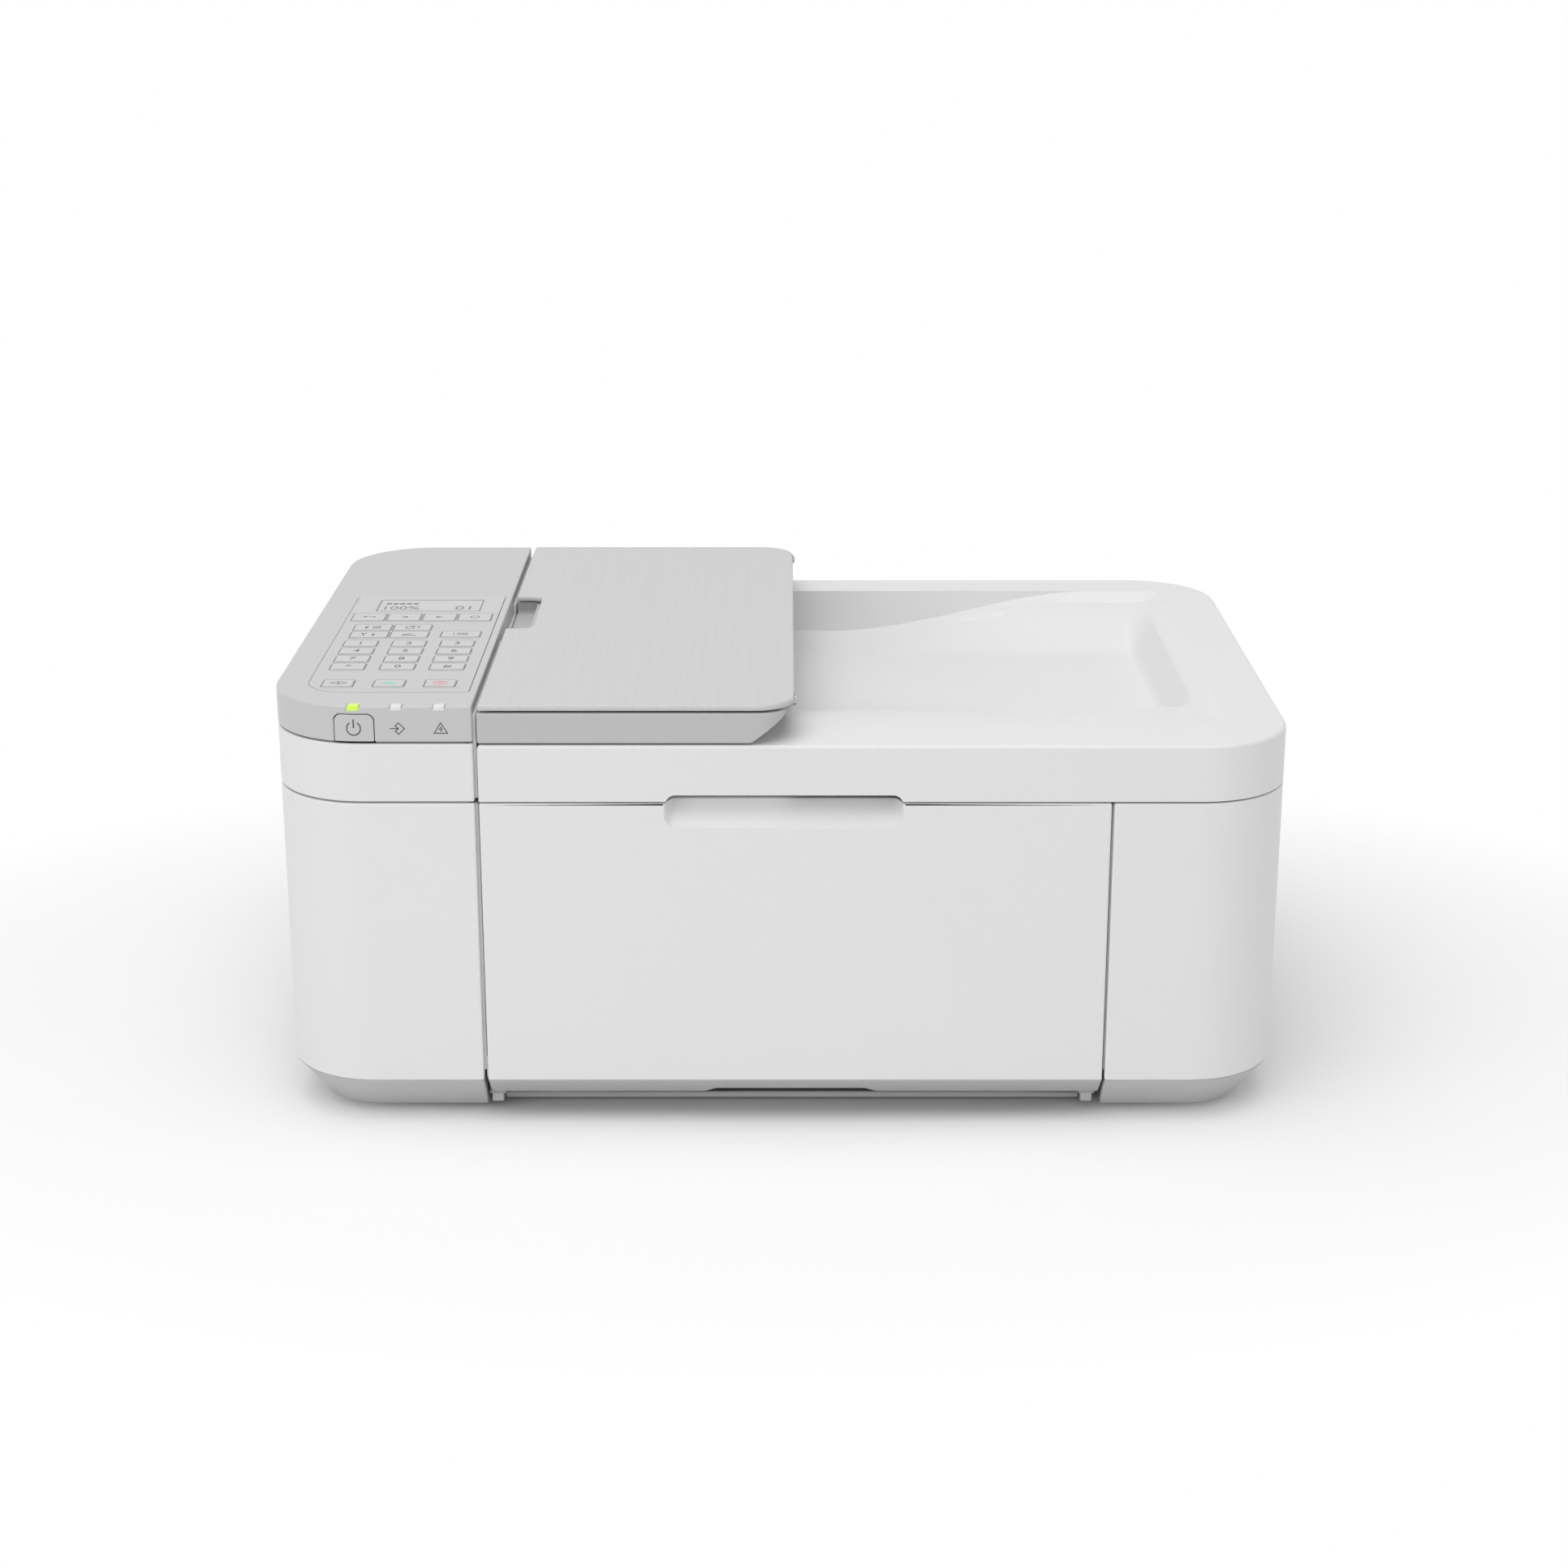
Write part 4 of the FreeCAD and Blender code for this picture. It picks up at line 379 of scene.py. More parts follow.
def lamp_lens():
    """Return the lens finish, lit on the left lamp only."""
    paint = colours()
    material = moulded("lamp_lens", paint.lamp, 0.30, bump=0.01)
    tree = material.node_tree
    mask = place_group(tree, "Above Level", {"Level": LIT_LAMP_X}).outputs["Along X"]
    lit = opaque(paint.lamp_lit)
    values = {"Base Color": blended(tree, mask, lit, opaque(paint.lamp)),
              "Emission Color": blended(tree, mask, lit, BLACK), "Emission Strength": LAMP_GLOW}
    feed(tree, tree.nodes["Principled BSDF"], values)
    return material


def platen_glass():
    """Return clear glass with a trace of handling in its gloss."""
    material = moulded("platen_glass", GLASS_TINT, 0.04, grain=60.0, bump=0.0, change=0.01)
    tree = material.node_tree
    feed(tree, tree.nodes["Principled BSDF"], {"Transmission Weight": 1.0, "IOR": GLASS_INDEX})
    return material


# Material slots first, then other looks: name, colour, roughness and other values of the finish
INK = {"grain": 5000.0, "bump": 0.02, "change": 0.06}
FINISHES = {
    "white_plastic": ("casing_white", "casing", 0.42, {}),
    "skirt_plastic": ("skirt_painted_shade", "skirt", 0.45, {}),
    # Skirt grey: painted shade on the base's downward-facing chamfer
    "grey_plastic": ("panel_grey", "panel", 0.40, {}),
    "lid_plastic": ("lid_lined_grey", "lid", 0.38, {"bump": 0.10, "lines": 0.10}),
    "overlay": ("overlay_film", "overlay", 0.36, {"grain": 3000.0, "bump": 0.02}),
    "key_plastic": ("key_film", "key", 0.34, {"grain": 3000.0, "bump": 0.02}),
    "display": ("display_film", "display", 0.16, {"grain": 400.0, "bump": 0.0, "coat": 0.4}),
    "pad_foam": ("pad_film", "foam", 0.55, {"grain": 900.0, "bump": 0.12}),
    "rubber": ("foot_rubber", "rubber", 0.75, {"grain": 2500.0, "bump": 0.15, "change": 0.15}),
    "steel": ("plated_steel", "steel", 0.32, {"grain": 700.0, "change": 0.06, "metallic": 1.0}),
    "motor_steel": ("motor_can", "steel", 0.26, {"grain": 500.0, "change": 0.05, "metallic": 1.0}),
    "roller_rubber": ("roller_rubber", "rubber", 0.65, {"grain": 4000.0, "bump": 0.2, "change": 0.12}),
    "gear_plastic": ("gear_acetal", "gear", 0.35, {}),
    "black_plastic": ("carriage_black", "black", 0.42, {"change": 0.1}),
    "inner_plastic": ("path_charcoal", "inner", 0.5, {"change": 0.1}),
    "lined_cover": ("cover_lined_white", "casing", 0.42, {"lines": 0.02}),
    "feeder": ("feeder_grey", "feeder", 0.40, {}),
    "contact": ("contact_plating", "contact", 0.28, {"grain": 2500.0, "change": 0.05, "metallic": 1.0}),
    "display_strip": ("strip_film", "display_strip", 0.22, {"grain": 400.0, "bump": 0.01, "coat": 0.3}),
    "ink": ("mark_ink", "ink", 0.5, INK),
    "key_line": ("key_edge_ink", "key_line", 0.5, INK),
    "start": ("start_ink", "start", 0.5, INK),
    "stop": ("stop_ink", "stop", 0.5, INK),
    "figure": ("display_ink", "figure", 0.5, INK),
    "floor": ("studio_floor", "floor", 0.9, {"grain": 200.0, "bump": 0.0, "change": 0.01}),
}


def finish(look):
    """Return the finish of a material slot or of another look."""
    if look == "lamp_plastic":
        return lamp_lens()
    if look == "clear_glass":
        return platen_glass()
    name, paint, roughness, others = FINISHES[look]
    return moulded(name, getattr(colours(), paint), roughness, **others)


# Dressing of the carried-over nodes

def even_shading(piece):
    """Shade a piece by the size of its faces, without changing its mesh."""
    even = piece.modifiers.new("even shading", "WEIGHTED_NORMAL")
    even.keep_sharp = True
    even.weight = 80


def soften(piece, radius):
    """Give a piece rounded edges and even shading without changing its mesh."""
    weld = piece.modifiers.new("joined corners", "WELD")
    weld.merge_threshold = CLOSE
    edge = piece.modifiers.new("rounded edges", "BEVEL")
    edge.width = radius
    edge.segments = 3
    edge.limit_method = "ANGLE"
    edge.angle_limit = EDGE_ANGLE
    edge.use_clamp_overlap = False
    edge.loop_slide = False
    even_shading(piece)


def dress(names, radius, material=None):
    """Give carried-over nodes their slot's finish, or another one, and rounded edges."""
    for name in names:
        node = NODES[name]
        for slot in node.material_slots:
            plain = slot.material.name.split(".")[0]
            slot.link = "OBJECT"
            slot.material = material or finish(plain)
        soften(node, radius)


# Forms and new pieces

def placed(name, data):
    """Put data in the scene as an object."""
    item = bpy.data.objects.new(name, data)
    bpy.context.scene.collection.objects.link(item)
    return item


def shown_mesh(*items):
    """Return the mesh that the first of some objects shows, and remove them."""
    bpy.context.view_layer.update()
    view = bpy.context.evaluated_depsgraph_get()
    mesh = bpy.data.meshes.new_from_object(items[0].evaluated_get(view))
    for item in items:
        bpy.data.objects.remove(item)
    return mesh


def form_of(*meshes):
    """Return a form with the faces of some meshes."""
    form = bmesh.new()
    for mesh in meshes:
        form.from_mesh(mesh)
    return form


def finished_mesh(form, name):
    """Turn a form into a mesh and free it."""
    mesh = bpy.data.meshes.new(name)
    form.to_mesh(mesh)
    form.free()
    return mesh


def new_piece(name, form, body, slot, look=None):
    """Make a form a piece that rides on a body, in its slot's look or another one."""
    mesh = finished_mesh(form, name)
    mesh.materials.append(finish(look or slot))
    piece = placed(name, mesh)
    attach(piece, body)
    return piece


def mark_sharp(form, degrees):
    """Shade a form smoothly, with a crease at each edge sharper than an angle."""
    limit = math.radians(degrees)
    for face in form.faces:
        face.smooth = True
    for edge in form.edges:
        edge.smooth = edge.calc_face_angle(math.pi) < limit


def round_edges(form, edges, radius, segments):
    """Round some edges of a form."""
    bmesh.ops.bevel(form, geom=edges, offset=radius, segments=segments, profile=0.5, affect="EDGES")


def box_mesh(low, high):
    """Return a box mesh between two corners."""
    form = bmesh.new()
    bmesh.ops.create_cube(form, size=1.0)
    middle = (low + high) / 2.0
    span = high - low
    for vertex in form.verts:
        vertex.co = Vector(tuple(middle[axis] + vertex.co[axis] * span[axis] for axis in range(3)))
    return finished_mesh(form, "box")


def in_metres(boxes):
    """Return boxes given in millimetres as pairs of corners in metres."""
    return [(Vector(low) * MM, Vector(high) * MM) for low, high in boxes]


def rounded_boxes(boxes, radius, segments):
    """Return a form of boxes with rounded edges, each given by two corners."""
    form = form_of(*[box_mesh(low, high) for low, high in boxes])
    round_edges(form, form.edges[:], radius, segments)
    mark_sharp(form, SMALL_CREASE)
    return form


def steps(low, high, pitch, *extra):
    """Return even places between two ends, with extra places added."""
    count = max(2, round((high - low) / pitch))
    places = {round(low + (high - low) * index / count, 6) for index in range(count + 1)}
    places.update(round(place, 6) for place in extra)
    return sorted(places)


def grid_solid(near, far):
    """Return a closed form between two grids of points."""
    form = bmesh.new()
    grid = [[form.verts.new(point) for point in line] for line in near]
    top = [[form.verts.new(point) for point in line] for line in far]
    last_row = len(near) - 1
    last_column = len(near[0]) - 1
    for row in range(last_row):
        for column in range(last_column):
            corners = ((row, column), (row, column + 1), (row + 1, column + 1), (row + 1, column))
            form.faces.new([grid[r][c] for r, c in reversed(corners)])
            form.faces.new([top[r][c] for r, c in corners])
    rim = [(0, column) for column in range(last_column)]
    rim += [(row, last_column) for row in range(last_row)]
    rim += [(last_row, column) for column in range(last_column, 0, -1)]
    rim += [(row, 0) for row in range(last_row, 0, -1)]
    for (r0, c0), (r1, c1) in zip(rim, rim[1:] + rim[:1]):
        form.faces.new((grid[r0][c0], grid[r1][c1], top[r1][c1], top[r0][c0]))
    bmesh.ops.recalc_face_normals(form, faces=form.faces)
    return form


def share(value, low=0.0, high=1.0):
    """Return how far a value lies between two ends, from nought to one."""
    return min(max((value - low) / (high - low), 0.0), 1.0)


def smooth(value):
    """Ease a value from nought to one."""
    value = share(value)
    return value * value * (3.0 - 2.0 * value)


def ramp(value, start, end):
    """Go straight from nought to one, with a start and end rounded over the given shares."""
    value = share(value)
    slope = 1.0 / (1.0 - (start + end) / 2.0)
    if value < start:
        return slope * value * value / (2.0 * start)
    if value > 1.0 - end:
        return 1.0 - slope * (1.0 - value) ** 2 / (2.0 * end)
    return slope * (value - start / 2.0)


# Document cover

COVER_HALF = Vector((217.5, 147.5)) * MM
COVER_CORNER = 40.0 * MM
COVER_SLACK = 0.05 * MM
COVER_CREASE = 16.0
COVER_FLAT = math.radians(0.2)
COVER_RIM_ANGLE = math.radians(60.0)
COVER_FILL = (Vector((-19.6, -117.4, 151.0)) * MM, Vector((191.2, 122.6, 172.5)) * MM)
FILL_LIFT = 20.0 * MM
SHELF_START = 25.0 * MM
SHELF_RUN = 135.0 * MM
SHELF_ENDS = (0.35, 0.12)
LEDGE_START = 92.0 * MM
LEDGE_RUN = 80.0 * MM
LEDGE_WIDTH = 40.0 * MM
LEDGE_LEAST = 1.0 * MM
WALL_RUN = 13.0 * MM
WALL_ENDS = (0.1, 0.4)
STEEP_START = 60.0 * MM
STEEP_RUN = 110.0 * MM
STEEP_SHARE = 0.72
RAMP_LEAN = 0.20
RAMP_ENDS = (0.45, 0.45)
HOLLOW_CORNER = 12.0 * MM
HOLLOW_MARGIN = 1.5 * MM
HOLLOW_LEFT = 6.0 * MM
HOLLOW_PITCH = (2.4 * MM, 2.2 * MM)
HOLLOW_FINE = 18
GRIP_DENT = (Vector((102.0, 110.0)) * MM, 15.0 * MM, 2.4 * MM, 1.3 * MM)
PAD_CORNER = 5.0 * MM


def grip_dent(x, y):
    """Return the depth of the shallow lens on the back slope."""
    centre, half_length, half_width, depth = GRIP_DENT
    along = (x - centre.x) / half_length
    across = abs(y - centre.y) / half_width
    return depth * share(2.0 * (1.0 - along * along - across))


def hollow_drop(x, y):
    """Return the depth of the hollow below the rim, negative outside its edge."""
    size = sizes()
    from_right = size.hollow_right - x
    from_front = y + size.hollow_front
    from_back = size.hollow_back - y
    ledge = smooth((x - LEDGE_START) / LEDGE_RUN)
    near_front = from_front / (LEDGE_WIDTH * ledge + LEDGE_LEAST)
    edge = min(from_right / size.hollow_bevel, near_front, 1.0)
    if from_right < HOLLOW_CORNER and from_front < HOLLOW_CORNER:
        round_in = HOLLOW_CORNER - math.hypot(HOLLOW_CORNER - from_right, HOLLOW_CORNER - from_front)
        edge = min(edge, round_in / size.hollow_bevel)
    bevel = size.hollow_step * ledge * edge * share(from_back / size.hollow_bevel)
    wall = ramp((from_right - size.hollow_bevel) / WALL_RUN, *WALL_ENDS)
    run = size.hollow_ramp * (1.0 - STEEP_SHARE * smooth((x - STEEP_START) / STEEP_RUN))
    along = min((from_front - LEDGE_WIDTH * ledge) / run, 1.0)
    lean = RAMP_LEAN * (1.0 - ledge)
    rise = lean * along + (1.0 - lean) * ramp(along, *RAMP_ENDS)
    foot = 1.0 - smooth((x - SHELF_START) / SHELF_RUN)
    shelf = foot + (1.0 - foot) * ramp(from_back / size.hollow_shelf, *SHELF_ENDS)
    basin = (size.hollow_depth - size.hollow_step * ledge) * wall * rise * shelf
    return bevel + basin + grip_dent(x, y)


def hollow_solid():
    """Return a mesh of the air in the document hollow."""
    size = sizes()
    low, high = COVER_FILL
    right = size.hollow_right
    front = -size.hollow_front
    inner = right - size.hollow_bevel
    fine = [inner - index * MM for index in range(HOLLOW_FINE)]
    columns = steps(low.x - HOLLOW_LEFT, right + HOLLOW_MARGIN, HOLLOW_PITCH[0], right, inner, *fine)
    rows = steps(front - HOLLOW_MARGIN, size.hollow_back, HOLLOW_PITCH[1], front)
    floor = [[(x, y, high.z - hollow_drop(x, y)) for x in columns] for y in rows]
    top = [[(x, y, high.z + FILL_LIFT) for x in columns] for y in rows]
    return finished_mesh(grid_solid(floor, top), "hollow_air")


def node_copy(name):
    """Return a joined copy of a carried-over node's mesh."""
    source = NODES[name].data
    mesh = bpy.data.meshes.new(name + "_copy")
    mesh.from_pydata([vertex.co for vertex in source.vertices], [],
                     [list(face.vertices) for face in source.polygons])
    form = form_of(mesh)
    bmesh.ops.remove_doubles(form, verts=form.verts, dist=CLOSE)
    bmesh.ops.dissolve_limit(form, angle_limit=COVER_FLAT, verts=form.verts, edges=form.edges)
    return finished_mesh(form, name + "_joined")


def combined(mesh, *changes):
    """Return a mesh joined with or cut by other meshes, each given with its operation."""
    items = [placed("work", mesh)]
    for operation, other in changes:
        items.append(placed("tool", other))
        change = items[0].modifiers.new(operation, "BOOLEAN")
        change.operation = operation
        change.solver = "EXACT"
        change.object = items[-1]
    return shown_mesh(*items)


def on_cover_outline(point):
    """Say whether a point lies on the document cover's outer outline."""
    reach = Vector((point.x, abs(point.y))) - COVER_HALF + Vector((COVER_CORNER, COVER_CORNER))
    if reach.x > 0.0 and reach.y > 0.0:
        return abs(reach.length - COVER_CORNER) < 3.0 * COVER_SLACK
    return abs(reach.x - COVER_CORNER) < COVER_SLACK or abs(reach.y - COVER_CORNER) < COVER_SLACK


class PRINTER_OT_document_cover(Operator):
    """Make the document cover with its smooth hollow"""

    bl_idname = "printer.document_cover"
    bl_label = "Document Cover"

    def execute(self, context):
        mesh = combined(node_copy("document_cover"), ("UNION", box_mesh(*COVER_FILL)),
                        ("DIFFERENCE", hollow_solid()))
        form = form_of(mesh)
        bmesh.ops.remove_doubles(form, verts=form.verts, dist=2.0 * CLOSE)
        top = COVER_FILL[1].z
        rim = [edge for edge in form.edges
               if all(abs(end.co.z - top) < 10.0 * CLOSE and on_cover_outline(end.co) for end in edge.verts)
               and edge.calc_face_angle(0.0) > COVER_RIM_ANGLE]
        if not rim:
            raise RuntimeError("the document cover has no outer edge to round")
        round_edges(form, rim, sizes().cover_edge, 5)
        mark_sharp(form, COVER_CREASE)
        cover = new_piece("document_cover_shell", form, "document_cover", "white_plastic", "lined_cover")
        even_shading(cover)
        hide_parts("document_cover")
        return {"FINISHED"}


class PRINTER_OT_pressure_pad(Operator):
    """Make the soft white pad under the document cover"""

    bl_idname = "printer.pressure_pad"
    bl_label = "Pressure Pad"

    def execute(self, context):
        low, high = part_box("pressure_pad")
        form = form_of(box_mesh(low, high))
        upright = [edge for edge in form.edges
                   if abs(edge.verts[0].co.z - edge.verts[1].co.z) > (high.z - low.z) / 2.0]
        round_edges(form, upright, PAD_CORNER, 6)
        lower = [edge for edge in form.edges
                 if all(abs(end.co.z - low.z) < CLOSE for end in edge.verts)]
        round_edges(form, lower, sizes().pad_round, 4)
        mark_sharp(form, ROUND_CREASE)
        pad = new_piece("pressure_pad_film", form, "document_cover", "pad_foam")
        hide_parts("pressure_pad")
        return {"FINISHED"}


# Casing, feeder, panel and print engine

HANDLE_LOW = Vector((-49.6, -147.5, 136.7)) * MM
HANDLE_HIGH = Vector((51.2, -139.5, 146.8)) * MM
SCOOP_SINK = 0.3 * MM
SCOOP_LIP = 0.5 * MM
SCOOP_END = 3.6 * MM
SCOOP_END_STEPS = 7
SCOOP_PITCH = 0.6 * MM
SCOOP_SPAN = 6.0 * MM
SCOOP_POWER = 0.8


class PRINTER_OT_casing(Operator):
    """Finish the case, base, door, scanner frame, feet and screws"""

    bl_idname = "printer.casing"
    bl_label = "Casing"

    def execute(self, context):
        paint = colours()
        edge = sizes().case_edge
        # The door's lip below its level takes the skirt grey as painted shade on its downward chamfer
        door = two_tone("door_white_over_painted_shade", paint.skirt, paint.casing, DOOR_SHADE_Z, 0.42)
        dress(("base_housing", "outer_case", "scanner_frame"), edge)
        dress(("front_door",), edge, door)
        dress(("rear_cover", "feet"), sizes().inner_edge)
        dress(("screws",), SCREW_EDGE)
        return {"FINISHED"}


def scoop_depth(x, z):
    """Return how far the finger scoop lies behind the face of the door."""
    rise = share(z, HANDLE_LOW.z, HANDLE_HIGH.z)
    from_end = share(min(x - HANDLE_LOW.x, HANDLE_HIGH.x - x), 0.0, SCOOP_END)
    full = HANDLE_HIGH.y - HANDLE_LOW.y - SCOOP_LIP
    return SCOOP_LIP + full * rise ** SCOOP_POWER * math.sin(from_end * math.pi / 2.0)


class PRINTER_OT_handle_scoop(Operator):
    """Shape the door's handle pocket as a scoop that is deepest at its top"""

    bl_idname = "printer.handle_scoop"
    bl_label = "Handle Scoop"

    def execute(self, context):
        low, high = HANDLE_LOW, HANDLE_HIGH
        ends = [low.x + index * SCOOP_PITCH for index in range(SCOOP_END_STEPS)]
        ends += [high.x - index * SCOOP_PITCH for index in range(SCOOP_END_STEPS)]
        columns = steps(low.x - SCOOP_SINK, high.x + SCOOP_SINK, SCOOP_SPAN, *ends)
        rows = steps(low.z - SCOOP_SINK, high.z, SCOOP_PITCH)
        face = [[(x, low.y + scoop_depth(x, z), z) for x in columns] for z in rows]
        back = [[(x, high.y + SCOOP_SINK, z) for x in columns] for z in rows]
        form = grid_solid(face, back)
        mark_sharp(form, SMALL_CREASE)
        new_piece("handle_scoop", form, "front_door", "white_plastic")
        return {"FINISHED"}


class PRINTER_OT_gap_linings(Operator):
    """Line the gaps beside the door, beside the panel and in the lid's finger notch"""

    bl_idname = "printer.gap_linings"
    bl_label = "Gap Linings"

    def execute(self, context):
        form = rounded_boxes(in_metres(GAP_LININGS), LINING_EDGE, 2)
        new_piece("gap_linings", form, "main_body", "white_plastic")
        form = rounded_boxes(in_metres(NOTCH_LINING), LINING_EDGE, 2)
        new_piece("notch_lining", form, "document_cover", "grey_plastic", "feeder")
        return {"FINISHED"}


class PRINTER_OT_feeder(Operator):
    """Finish the document feeder, its lid, guides and roller"""

    bl_idname = "printer.feeder"
    bl_label = "Document Feeder"

    def execute(self, context):
        dress(("feeder_base",), sizes().case_edge, finish("feeder"))
        dress(("feeder_lid",), sizes().lid_edge)
        dress(("document_guide_front", "document_guide_rear", "feeder_roller"), sizes().inner_edge)
        return {"FINISHED"}


class PRINTER_OT_control_panel(Operator):
    """Finish the control panel, its overlay, display and keys"""

    bl_idname = "printer.control_panel"
    bl_label = "Control Panel"

    def execute(self, context):
        dress(("panel_case",), sizes().case_edge)
        dress(("key_sheet", "display_window"), FILM_EDGE)
        keys = [name for name in NODES if name.endswith("_key") or name.startswith("number_key_")]
        dress(keys, sizes().key_edge)
        return {"FINISHED"}


class PRINTER_OT_lamp_lenses(Operator):
    """Make the lamp lenses that wrap over the panel's front edge"""

    bl_idname = "printer.lamp_lenses"
    bl_label = "Lamp Lenses"

    def execute(self, context):
        low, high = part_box("indicator_lamps")
        boxes = [(Vector((centre - LAMP_HALF, low.y - LAMP_PROUD, low.z - LAMP_DROP)),
                  Vector((centre + LAMP_HALF, high.y, high.z + LAMP_PROUD))) for centre in LAMP_PLACES]
        lenses = new_piece("lamp_lenses", rounded_boxes(boxes, LAMP_EDGE, 3), "main_body", "lamp_plastic")
        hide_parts("indicator_lamps")
        return {"FINISHED"}


class PRINTER_OT_print_engine(Operator):
    """Finish the pieces inside the case"""

    bl_idname = "printer.print_engine"
    bl_label = "Print Engine"

    def execute(self, context):
        paint = colours()
        dress(("chassis", "carriage_motor", "power_unit", "output_stop", "inner_cover", "paper_guide_left",
               "paper_guide_right", "carriage", "ink_cartridges", "scan_unit", "maintenance_cap"),
              sizes().inner_edge)
        board = two_tone("board_with_sockets", paint.board, paint.black, SOCKET_Y, 0.35, "Y")
        dress(("main_board",), sizes().inner_edge, board)
        dress(("platen_glass",), GLASS_EDGE)
        dress(("feed_roller", "eject_roller", "idler_gear", "drive_belt"), GEAR_EDGE)
        return {"FINISHED"}


# Contacts at the back, in millimetres

INLET_PIN_PLACES = ((-169.2, 40.0), (-160.8, 40.0))
INLET_PIN_RADIUS = 1.2
INLET_PIN_NOSE = 0.7
INLET_PIN_Y = (135.6, 144.5)
SOCKET_LEVELS = (42.5, 64.5, 86.5)
CONTACT_PLACES = (156.7, 158.9, 161.1, 163.3)
CONTACT_LOW = Vector((-0.4, 135.9, 1.2))
CONTACT_HIGH = Vector((0.4, 144.0, 2.0))
CONTACT_EDGE = 0.15


def contact_pin(form, x, z):
    """Add a round-nosed pin that points out of the back."""
    length = (INLET_PIN_Y[1] - INLET_PIN_Y[0]) * MM
    made = bmesh.ops.create_cone(form, cap_ends=True, segments=20, radius1=INLET_PIN_RADIUS * MM,
                                 radius2=INLET_PIN_RADIUS * MM, depth=length)["verts"]
    middle = Vector((x, sum(INLET_PIN_Y) / 2.0, z)) * MM
    turn = Matrix.Translation(middle) @ Matrix.Rotation(math.radians(-90.0), 4, "X")
    bmesh.ops.transform(form, matrix=turn, verts=made)
    nose = INLET_PIN_Y[1] * MM
    tip = [edge for edge in form.edges
           if all(end in made and abs(end.co.y - nose) < CLOSE for end in edge.verts)]
    round_edges(form, tip, INLET_PIN_NOSE * MM, 4)


class PRINTER_OT_rear_contacts(Operator):
    """Make the pins of the mains inlet and the contacts of the sockets"""

    bl_idname = "printer.rear_contacts"
    bl_label = "Rear Contacts"

    def execute(self, context):
        form = bmesh.new()
        for x, z in INLET_PIN_PLACES:
            contact_pin(form, x, z)
        mark_sharp(form, ROUND_CREASE)
        new_piece("inlet_pins", form, "main_body", "steel", "contact")
        places = [Vector((x, 0.0, level)) for level in SOCKET_LEVELS for x in CONTACT_PLACES]
        boxes = [(place + CONTACT_LOW, place + CONTACT_HIGH) for place in places]
        form = rounded_boxes(in_metres(boxes), CONTACT_EDGE * MM, 2)
        new_piece("socket_contacts", form, "main_body", "steel", "contact")
        return {"FINISHED"}


# Printed marks, in millimetres

def stroke(points, width, closed=False):
    """Return the faces of a line with mitred corners."""
    places = [Vector(point) for point in points]
    sides = []
    for index, place in enumerate(places):
        ways = []
        if index or closed:
            ways.append((place - places[index - 1]).normalized())
        if index < len(places) - 1 or closed:
            ways.append((places[(index + 1) % len(places)] - place).normalized())
        along = sum(ways, Vector((0.0, 0.0))).normalized()
        across = Vector((-along.y, along.x))
        square = Vector((-ways[0].y, ways[0].x))
        offset = across * (width / 2.0 / max(across.dot(square), 0.4))
        sides.append((place + offset, place - offset))
    pairs = list(zip(sides, sides[1:]))
    if closed:
        pairs.append((sides[-1], sides[0]))
    return [[a[0], a[1], b[1], b[0]] for a, b in pairs]


def arc(radius, start, end, count=24, centre=(0.0, 0.0)):
    """Return points along an arc given in degrees."""
    turns = [math.radians(start + (end - start) * index / count) for index in range(count + 1)]
    return [(centre[0] + radius * math.cos(turn), centre[1] + radius * math.sin(turn)) for turn in turns]


def ring(radius, width):
    """Return the faces of a ring."""
    return stroke(arc(radius, 0.0, 360.0, 36)[:-1], width, closed=True)


def block(left, foot, right, top):
    """Return the corners of a rectangle."""
    return [(left, foot), (right, foot), (right, top), (left, top)]


def key_outline(half):
    """Return the faces of a line with rounded corners just inside a key's edge."""
    points = []
    inset = KEY_LINE_INSET + KEY_LINE_CORNER
    for turn, (u, v) in enumerate(((1, 1), (-1, 1), (-1, -1), (1, -1))):
        centre = (u * (half.x - inset), v * (half.y - inset))
        points += arc(KEY_LINE_CORNER, 90.0 * turn, 90.0 * turn + 90.0, 5, centre)
    return stroke(points, KEY_LINE_WIDTH, closed=True)


def pointer(way):
    """Return a small filled triangle."""
    return [[(way * 1.7, 0.0), (-way * 1.5, way * 1.2), (-way * 1.5, -way * 1.2)]]


def list_mark():
    """Return a small list."""
    lines = []
    for level in (1.4, 0.0, -1.4):
        lines += stroke([(-3.4, level), (-2.8, level)], 0.5)
        lines += stroke([(-1.8, level), (3.4, level)], 0.45)
    return lines


# Bent arrow that points back
BACK_MARK = stroke([(2.6, -1.3), (2.6, 0.8), (-1.6, 0.8)], 0.45)
BACK_MARK += [[(-3.2, 0.8), (-1.4, -0.2), (-1.4, 1.8)]]

# Spanner beside a driver
TOOL_MARK = stroke([(-2.6, -2.0), (-2.6, 1.0)], 0.6)
TOOL_MARK += stroke(arc(1.0, 130.0, 410.0, 14, (-2.6, 1.9)), 0.5)
TOOL_MARK += stroke([(1.8, -2.2), (1.8, 0.2)], 1.1) + stroke([(1.8, 0.2), (1.8, 2.4)], 0.45)

# Raised cover over a flat bed
SCAN_MARK = stroke([(-3.2, -1.0), (0.6, 1.9)], 0.5) + stroke([(-3.2, -1.4), (3.2, -1.4)], 0.9)

# Sheet beside a handset
SEND_MARK = stroke(block(0.3, -1.9, 3.3, 1.9), 0.4, closed=True)
SEND_MARK += stroke([(1.0, 0.6), (2.6, 0.6)], 0.35) + stroke([(1.0, -0.5), (2.6, -0.5)], 0.35)
SEND_MARK += stroke(arc(1.9, 110.0, 250.0, 12, (-1.4, 0.0)), 0.8)

